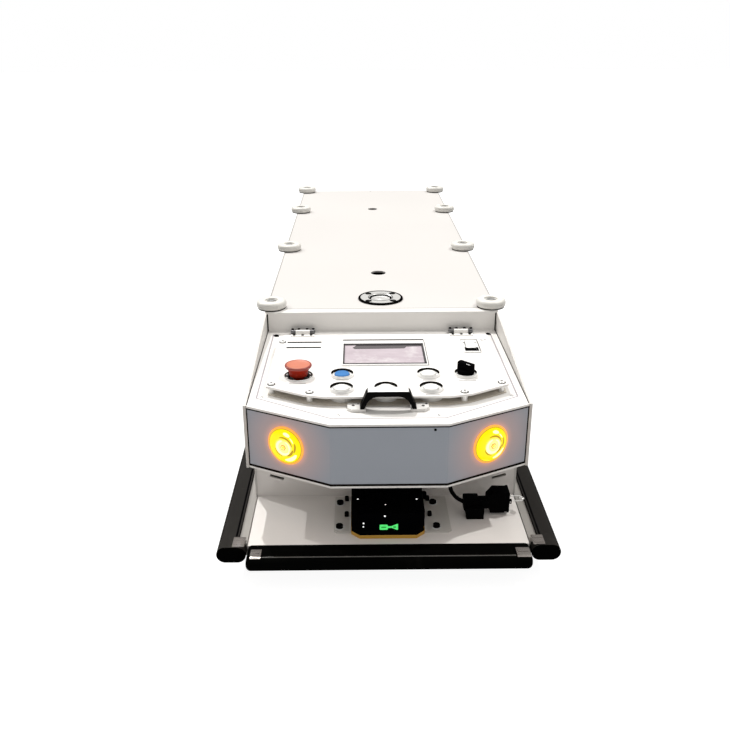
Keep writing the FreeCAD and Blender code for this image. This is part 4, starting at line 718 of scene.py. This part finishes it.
# ------------------------------------------------------------------ head: facet frame, gap lines and lamps
me = N["fascia"].data
HALO = []
for sx in (-1, 1):
    acc, base, wsum = Vector((0, 0, 0)), None, 0
    for p in me.polygons:
        if p.normal.x * sx > 0.3 and p.normal.y < -0.5 and p.area > 1e-5:
            acc += p.normal * p.area
            base = p.center.copy() if base is None else base
    n = acc.normalized()
    c0 = P(sx * 142.5, 32.54, 187.7)
    c0 -= n * (c0 - base).dot(n)
    v = Vector((0, 0, 1))
    u = v.cross(n).normalized()
    LM = Matrix((u, v, n)).transposed().to_4x4()
    LM.translation = c0
    HALO.append(tuple(c0))
    side = "left" if sx < 0 else "right"
    bm = a_lathe(B(), None, [(28.9, -0.4), (28.9, 0.9), (27.6, 1.5), (26.3, 1.6)], seg=96, raw=True, mi=1)
    a_lathe(bm, None, [(26.3, 1.6), (25.5, 1.9)], seg=96, raw=True, mi=3)
    DOME = [(25.5, 1.9), (24.4, 2.9), (22.0, 4.1), (18.5, 5.4), (13.5, 6.4), (8.0, 7.0), (3.5, 7.2), (0, 7.2)]
    a_lathe(bm, None, DOME, seg=96, raw=True, mi=0)

    def on_dome(r):
        for (ra, za), (rb, zb) in zip(DOME, DOME[1:]):
            if rb <= r <= ra:
                return zb + (za - zb) * (r - rb) / (ra - rb)
        return DOME[0][1]

    def stroke(bm, r, a0, a1, w, mi, h=0.5, r1=None):
        """raised band that follows the dome; w is its half width at the middle"""
        k = 26
        rows = []
        for i in range(k + 1):
            t = i / k
            a = math.radians(a0 + (a1 - a0) * t)
            rr = r + ((r1 if r1 is not None else r) - r) * t
            ww = w * (0.25 + 0.75 * math.sin(math.pi * min(max(t, 0.02), 0.98)) ** 0.6)
            row = []
            for dr, dh in ((-ww, -0.15), (-ww * 0.6, h), (ww * 0.6, h), (ww, -0.15)):
                q = max(0.2, rr + dr)
                row.append(bm.verts.new(Vector((q * math.cos(a) / 1000, q * math.sin(a) / 1000, (on_dome(q) + dh) / 1000))))
            rows.append(row)
        for ra, rb in zip(rows, rows[1:]):
            for j in range(3):
                bm.faces.new((ra[j], rb[j], rb[j + 1], ra[j + 1])).material_index = mi
    # the bright ring of the reflector, its shaded gap, and the glints across the lens
    stroke(bm, 9.6, 100, 330, 2.6, 2, 0.35, 10.6)
    stroke(bm, 9.8, -30, 70, 1.5, 2, 0.3, 9.2)
    stroke(bm, 13.6, 14, 116, 1.3, 3, 0.35, 14.8)
    stroke(bm, 13.4, -64, -6, 1.9, 3, 0.35, 14.6)
    stroke(bm, 16.8, -18, 26, 1.5, 3, 0.35, 19.2)
    stroke(bm, 13.8, 196, 262, 1.0, 3, 0.3, 14.2)
    stroke(bm, 19.6, 62, 92, 2.7, 2, 0.3, 20.3)
    stroke(bm, 19.8, -86, -24, 3.4, 2, 0.3, 20.6)
    stroke(bm, 17.4, 30, 58, 1.0, 2, 0.3, 18.4)
    a_lathe(bm, None, [(4.3, 6.6), (4.1, 7.5), (3.0, 7.6), (2.7, 7.25), (0, 7.3)], seg=6, raw=True, mis=[3, 3, 2, 4])
    finish_piece("lamp_" + side, bm, [lens_m, amber_rim, amber_white, amber_dark, lens_m], "chassis",
                 rep=("lamps",), angle=50, local=LM)
    ld = bpy.data.lights.new("lamp_glow_" + side, "POINT")
    ld.energy = 0.012
    ld.color = (1.0, 0.24, 0.02)
    ld.shadow_soft_size = 0.006
    lob = bpy.data.objects.new("lamp_glow_" + side, ld)
    scene.collection.objects.link(lob)
    lob.location = c0 + n * 0.015
    lob.visible_camera = False
# painted glow: the panel's own material emits amber light round each lamp
nt = fascia_m.node_tree
tc = nt.nodes.new("ShaderNodeTexCoord")
tot = None
for c0 in HALO:
    ds = nt.nodes.new("ShaderNodeVectorMath")
    ds.operation = "DISTANCE"
    nt.links.new(tc.outputs["Object"], ds.inputs[0])
    ds.inputs[1].default_value = c0
    for far, k, ex in ((0.0400, 0.46, 2.2), (0.0780, 0.135, 1.3)):
        mr = nt.nodes.new("ShaderNodeMapRange")
        mr.inputs["From Min"].default_value = far
        mr.inputs["From Max"].default_value = 0.0262
        nt.links.new(ds.outputs["Value"], mr.inputs["Value"])
        pw = nt.nodes.new("ShaderNodeMath")
        pw.operation = "POWER"
        nt.links.new(mr.outputs["Result"], pw.inputs[0])
        pw.inputs[1].default_value = ex
        ma = nt.nodes.new("ShaderNodeMath")
        ma.operation = "MULTIPLY_ADD"
        nt.links.new(pw.outputs[0], ma.inputs[0])
        ma.inputs[1].default_value = k
        if tot is None:
            ma.inputs[2].default_value = 0.0
        else:
            nt.links.new(tot, ma.inputs[2])
        tot = ma.outputs[0]
fb = nt.nodes["Principled BSDF"]
fb.inputs["Emission Color"].default_value = (1.0, 0.24, 0.03, 1)
nt.links.new(tot, fb.inputs["Emission Strength"])

# lamp bodies behind the fascia
bm = B()
for sx in (-1, 1):
    a_lathe(bm, (sx * 139.5, 46.0, 187.7), [(0, -16), (21, -16), (24, -12), (24.5, 2), (0, 4)], seg=40, axis="y", mi=0)
finish_piece("lamp_bodies", bm, blackpl, "chassis")
# gap lines round the grey panel, and the bright cut edges of the side sheets
def ribbon(bm, pts, z0, z1, depth, mi=0):
    for (xa, ya), (xb, yb) in zip(pts, pts[1:]):
        L = math.hypot(xb - xa, yb - ya)
        nx, ny = -(yb - ya) / L * depth, (xb - xa) / L * depth
        vs = [bm.verts.new(P(x, y, zz)) for x, y in ((xa, ya), (xb, yb), (xb + nx, yb + ny), (xa + nx, ya + ny)) for zz in (z0, z1)]
        for f in ((0, 2, 3, 1), (2, 4, 5, 3), (4, 6, 7, 5), (6, 0, 1, 7), (0, 6, 4, 2), (1, 3, 5, 7)):
            bm.faces.new([vs[i] for i in f]).material_index = mi


bm = B()
fpts = [(-198.2, 61.62), (-80.2, 0.2), (80.2, 0.2), (198.2, 61.62)]
ribbon(bm, fpts, 230.0, 231.6, 1.2)
ribbon(bm, fpts, 141.0, 144.2, 1.2)
for sx in (-1, 1):
    a_box(bm, *sorted((sx * 196.7, sx * 199.1)), 61.7, 66, 141, 232)
finish_piece("panel_gap", bm, darkgap, "chassis")
bm = B()
for sx in (-1, 1):
    a_box(bm, *sorted((sx * 199.1, sx * 203.4)), 61.4, 64.6, 137.2, 235.4)
finish_piece("sheet_edges", bm, edge_m, "chassis", bevel=0.5)
bm = a_lathe(B(), (61.6, 0.5, 226.5), [(1.9, -0.3), (1.9, 0.35), (1.2, 0.55), (0, 0.2)], seg=18, axis="y")
finish_piece("panel_screw", bm, blacksteel, "chassis")

# ------------------------------------------------------------------ scanner
bm = B()
SC = [(-53, 109.5), (-53, 23), (-41, 11), (41, 11), (53, 23), (53, 109.5)]


def offs(pts, d):
    """moves the five front-facing corners outward by d"""
    (x0, y0), (x1, y1), (x2, y2), (x3, y3), (x4, y4), (x5, y5) = pts
    k = d * 0.414
    return [(x0 - d, y0), (x1 - d, y1 - k), (x2 - k, y2 - d), (x3 + k, y3 - d), (x4 + d, y4 - k), (x5 + d, y5)]


def ring_stack(bm, levels, caps=True):
    prev = None
    for z, d, mi in levels:
        ring = [bm.verts.new(P(x, y, z)) for x, y in offs(SC, d)]
        if prev:
            for i in range(6):
                j = (i + 1) % 6
                bm.faces.new((prev[i], prev[j], ring[j], ring[i])).material_index = mi
        elif caps:
            bm.faces.new(ring).material_index = mi
        prev = ring
    if caps:
        bm.faces.new(prev).material_index = levels[-1][2]


ring_stack(bm, [(48.6, -0.7, 0), (54.4, -0.7, 0), (54.6, -2.4, 0), (61.6, -2.4, 1), (61.9, -0.5, 0), (86.6, -0.5, 0), (88.2, -1.6, 0), (88.9, -3.2, 0)])
finish_piece("scanner_case", bm, [blackgloss, blackpl], "chassis", rep=("scanner",), angle=25)
bm = B()
ring_stack(bm, [(48.7, -0.65, 0), (48.7, -0.1, 0), (53.4, 0.0, 0), (53.9, -0.5, 0)], caps=False)
finish_piece("scanner_trim", bm, gold, "chassis", angle=25)
bm = B()
for x, y, r in ((-43.1, 52.4, 1.25), (42.5, 51.3, 1.25), (-3.4, 36.7, 0.9)):
    a_lathe(bm, (x, y, 88.7), [(r, 0), (r, 0.3), (0, 0.4)], seg=14)
for x, z, r in ((-5.0, 85.8, 1.2), (-35.2, 74, 1.15), (-35.4, 68.3, 1.0)):
    a_lathe(bm, (x, 11.5, z), [(r, 0), (r, 0.3), (0, 0.4)], seg=14, axis="y")
finish_piece("scanner_leds", bm, led_w, "chassis")
bm = B()
a_extr(bm, rrect(-12.3, -0.8, 63.3, 71.6, 1.2), 11.0, 11.8, 0)
a_extr(bm, [(-0.8, 69.0), (-0.8, 66.0), (4.4, 66.6), (12.9, 62.9), (13.8, 63.6), (13.8, 72.2), (12.9, 72.8), (4.2, 69.0)], 11.0, 11.8, 0)
a_extr(bm, rrect(-10.2, -3.0, 66.3, 68.6, 0.9), 10.85, 11.3, 1)
a_extr(bm, rrect(6.8, 11.0, 66.6, 69.0, 0.9), 10.85, 11.3, 1)
bm2 = B()
for x0, x1 in ((-55.2, -53.6), (53.6, 55.2)):
    a_box(bm2, x0, x1, 25.5, 108, 51.4, 53.0)
finish_piece("scanner_side_strips", bm2, whiteplast, "chassis", bevel=0.3)
led_gd = glow("display_green_dim", lin(60, 190, 84), 0.8, base=(0.0, 0.02, 0.0), vscale=700, lo=0.6)
finish_piece("scanner_display", bm, [led_g, led_gd], "chassis")
bm = B()
a_box(bm, 54.0, 62.5, 112.0, 122.5, 51.6, 60.5)
a_box(bm, 50.0, 56.0, 108.0, 118.0, 54.0, 58.5)
finish_piece("scanner_lug", bm, blackpl, "chassis", bevel=1.0)
bm = B()
for x, y in ((-70, 36), (-70, 101), (71, 36), (71, 101)):
    a_lathe(bm, (x, y, 51.5), [(7.3, 0), (7.2, 0.5), (5.3, 0.7), (5.2, 0.0)], seg=30, mi=1)
    a_lathe(bm, (x, y, 56.5), [(5.2, -5), (5.2, -0.6), (4.6, 0.02), (2.6, 0.02), (2.4, -1.6), (0, -1.6)], seg=30, mi=0)
for x, y in ((-60, 68), (-60, 112), (63.5, 68), (63.5, 112)):
    a_prism(bm, rrect(x - 3.1, x + 3.1, y - 4.1, y + 4.1, 1.6, 4), 51.5, 56.7, 0, inset=0.12, drop=0.7)
finish_piece("bracket_screws", bm, [blacksteel, whitemetal], "chassis", rep=("scanner_screws",))

# ------------------------------------------------------------------ charging connector
bm = B()
a_extr(bm, [(115.2, 76.6), (135.6, 76.6), (136.6, 75.6), (136.8, 57.2), (142.8, 56.6), (142.8, 48.6), (118.2, 48.6), (117.0, 58), (114.4, 59), (114.2, 75.6)], 67.5, 87.0)
a_box(bm, 117.5, 143.4, 59.2, 67.5, 48.6, 66.5)
a_box(bm, 136.0, 150.0, 70.0, 85.0, 59.5, 73.6)
a_box(bm, 118.0, 134.0, 66.4, 67.6, 60.5, 73.5)
for x in (120.5, 124.5, 128.5, 132.0):
    a_box(bm, x - 0.8, x + 0.8, 66.0, 66.6, 61, 73)
finish_piece("plug_shell", bm, blackpl, "chassis", rep=("cable_plug",), bevel=0.8)
bm = B()
# housing that flares from the neck to its square flange
fl = [(149.6, 74.0, 62.0), (150.2, 75.4, 60.2), (158.4, 85.8, 53.6), (158.0, 86.0, 54.2), (181.2, 85.6, 54.4)]
prev = None
for x, zt_, zb_ in fl:
    ring = [bm.verts.new(P(x, y, z)) for y, z in ((70.2, zb_), (93.6, zb_), (93.6, zt_), (70.2, zt_))]
    if prev:
        for i in range(4):
            j = (i + 1) % 4
            bm.faces.new((prev[i], prev[j], ring[j], ring[i]))
    else:
        bm.faces.new(ring)
    prev = ring
bm.faces.new(prev)
a_box(bm, 178.6, 182.2, 69.4, 94.6, 53.4, 85.9)
a_box(bm, 155.5, 176.5, 76.5, 91.5, 48.6, 56.0)
for x in (161, 166, 171):
    a_box(bm, x, x + 1.6, 69.6, 70.4, 57, 83)
a_box(bm, 181.4, 186.0, 72.2, 75.6, 66.6, 73.4)
a_box(bm, 181.4, 186.0, 88.4, 91.8, 66.6, 73.4)
finish_piece("socket_shell", bm, blackpl, "chassis", rep=("connector_socket",), bevel=0.8)

# ------------------------------------------------------------------ bumpers: bead lines, clips and the joints at the end caps
lo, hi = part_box("bumper_front")
FR = (hi.z - lo.z) * 500                                   # nose radius of the front bar
FZ = (hi.z + lo.z) * 500
FY = (lo.y - NOSE) * 1000 + FR
FT = hi.z * 1000


def bar_skin(t, d=0.0):
    """point on the front bar's round nose: t degrees from straight up, turning to the front"""
    a = math.radians(90 + t)
    return FY + (FR + d) * math.cos(a), FZ + (FR + d) * math.sin(a)


clipm = pm("clip_bright", (0.30, 0.275, 0.26), 0.20, metal=0.9, var=0.25, vscale=70, bump=0.10, bscale=600, stretch=(1, 6, 1))
for side, x0, x1 in (("left", -192.6, -177.4), ("right", 176.6, 196.0)):
    bm = B()
    prof = [(-15.0, FT - 0.2), (-15.0, FT + 0.6), (-18, FT + 0.9), (-22, FT + 1.0), (FY, FT + 0.9)]
    prof += [bar_skin(9 * k, 0.9) for k in range(1, 4)]
    inner = [bar_skin(9 * k, -0.2) for k in range(3, 0, -1)] + [(FY, FT - 0.2)]
    a_extx(bm, prof + inner, x0, x1)
    a_extx(bm, [(-20.5, FT + 0.9), (-20.5, FT + 1.6), (-25.5, FT + 1.7), (-25.8, FT + 0.9)], x0 + 2.5, x1 - 2.5)
    finish_piece("front_clip_" + side, bm, clipm, "chassis", angle=24, bevel=0.3)
    xe = -176.6 if side == "left" else 175.8
    bm = B()
    rim_o = [(-8, FT + 0.15)] + [bar_skin(t, 0.0 if 70 < t < 110 else 0.15) for t in range(0, 181, 10)]
    rim_i = [bar_skin(t, -0.9) for t in range(180, -1, -10)] + [(-8, FT - 0.5)]
    a_extx(bm, rim_o + rim_i, xe - 0.5, xe + 0.5)
    finish_piece("bar_joint_" + side, bm, blackgloss, "chassis", angle=60)
# grey bead along the bar's nose: its lighter colour is a painted highlight
bead_highlight_m = pm("rubber_bead_highlight", (0.085, 0.083, 0.078), 0.30, var=0.15, vscale=30, bump=0.1, bscale=1500)
bm = B()
by, bz = bar_skin(10, 0.0)
a_tube(bm, [(x, by, bz) for x in (-176, -100, 0, 100, 175)], 0.9, seg=10)
finish_piece("front_bar_bead", bm, bead_highlight_m, "chassis", angle=70)
for sx in (-1, 1):
    side = "left" if sx < 0 else "right"
    bm = B()
    xa, xb = sorted((sx * 202.6, sx * 219.5))
    a_box(bm, xa, xb, -13.0, 9.5, 52.9, 54.3)
    a_box(bm, xa + 2.2, xb - 2.2, -9.5, -3.0, 54.2, 54.9)
    a_box(bm, xa + 1.2, xb - 1.2, 2.0, 7.5, 54.2, 54.8)
    finish_piece("side_clip_" + side, bm, clipm, "chassis", bevel=0.5)
    # black strip in the groove on the bumper's top: painted shade in the groove
    bm = B()
    xa, xb = sorted((sx * 214.9, sx * 217.3))
    a_box(bm, xa, xb, 12, 1530, 53.0, 53.75)
    finish_piece("side_groove_shade_" + side, bm, blackgloss, "chassis")
    bm = B()
    a_tube(bm, [(sx * 238.4, y, 50.2) for y in (12, 400, 900, 1530)], 0.8, seg=8)
    finish_piece("side_bead_" + side, bm, rubber_side, "chassis", angle=70)
    # black strip in the gap between ledge and bumper: painted shade
    bm = B()
    xa, xb = sorted((sx * 212.2, sx * 213.4))
    a_box(bm, xa, xb, 10, 1532, 49.6, 50.4)
    finish_piece("ledge_gap_shade_" + side, bm, blackpl, "chassis")

# ------------------------------------------------------------------ world, floor, lights
scene.view_settings.view_transform = "Standard"
w = bpy.data.worlds.new("studio")
scene.world = w
w.use_nodes = True
wt = w.node_tree
bg = wt.nodes["Background"]
tc = wt.nodes.new("ShaderNodeTexCoord")
sp = wt.nodes.new("ShaderNodeSeparateXYZ")
wt.links.new(tc.outputs["Generated"], sp.inputs[0])
cr = wt.nodes.new("ShaderNodeValToRGB")
e = cr.color_ramp.elements
e[0].position, e[0].color = 0.0, (0.31, 0.30, 0.29, 1)
e[1].position, e[1].color = 1.0, (0.90, 0.88, 0.85, 1)
for pos, c in ((0.30, (0.36, 0.35, 0.335, 1)), (0.62, (0.62, 0.605, 0.585, 1))):
    k = e.new(pos)
    k.color = c
wt.links.new(sp.outputs["Z"], cr.inputs["Fac"])
lp = wt.nodes.new("ShaderNodeLightPath")
mx = wt.nodes.new("ShaderNodeMix")
mx.data_type = "RGBA"
wt.links.new(lp.outputs["Is Camera Ray"], mx.inputs[0])
wt.links.new(cr.outputs["Color"], mx.inputs[6])
mx.inputs[7].default_value = (1, 1, 1, 1)
wt.links.new(mx.outputs[2], bg.inputs[0])
bg.inputs[1].default_value = 1.0

fm = bpy.data.materials.new("floor_pale")
fm.use_nodes = True
ft = fm.node_tree
pb = ft.nodes["Principled BSDF"]
pb.inputs["Base Color"].default_value = (0.24, 0.24, 0.24, 1)
pb.inputs["Roughness"].default_value = 0.8
pb.inputs["Specular IOR Level"].default_value = 0.0
em = ft.nodes.new("ShaderNodeEmission")
em.inputs[0].default_value = (1, 1, 1, 1)
em.inputs[1].default_value = 0.93
lp = ft.nodes.new("ShaderNodeLightPath")
ms = ft.nodes.new("ShaderNodeMixShader")
ad = ft.nodes.new("ShaderNodeAddShader")
ft.links.new(pb.outputs[0], ad.inputs[0])
ft.links.new(em.outputs[0], ad.inputs[1])
ft.links.new(lp.outputs["Is Camera Ray"], ms.inputs[0])
df = ft.nodes.new("ShaderNodeBsdfDiffuse")
df.inputs[0].default_value = (0.42, 0.42, 0.42, 1)
ft.links.new(df.outputs[0], ms.inputs[1])
ft.links.new(ad.outputs[0], ms.inputs[2])
ft.links.new(ms.outputs[0], ft.nodes["Material Output"].inputs[0])
bm = B()
vs = [bm.verts.new(v) for v in ((-15, -15, -0.0005), (15, -15, -0.0005), (15, 15, -0.0005), (-15, 15, -0.0005))]
bm.faces.new(vs)
me = bpy.data.meshes.new("floor")
bm.to_mesh(me)
bm.free()
fl = bpy.data.objects.new("floor", me)
scene.collection.objects.link(fl)
me.materials.append(fm)


def sun(name, travel, strength, angle, color=(1, 1, 1)):
    d = bpy.data.lights.new(name, "SUN")
    d.energy = strength
    d.angle = math.radians(angle)
    d.color = color
    o = bpy.data.objects.new(name, d)
    scene.collection.objects.link(o)
    o.rotation_euler = Vector(travel).to_track_quat("-Z", "Y").to_euler()
    o.location = (0, 0, 3)
    return o


sun("spot_a", (21.8, -46.5, -89.5), 1.9, 0.8, (1.0, 0.985, 0.96))
sun("spot_b", (82, -47.5, -89.5), 1.0, 0.8, (1.0, 0.985, 0.96))
sun("spot_c", (-50, -22, -89.5), 1.4, 1.2, (1.0, 0.985, 0.96))
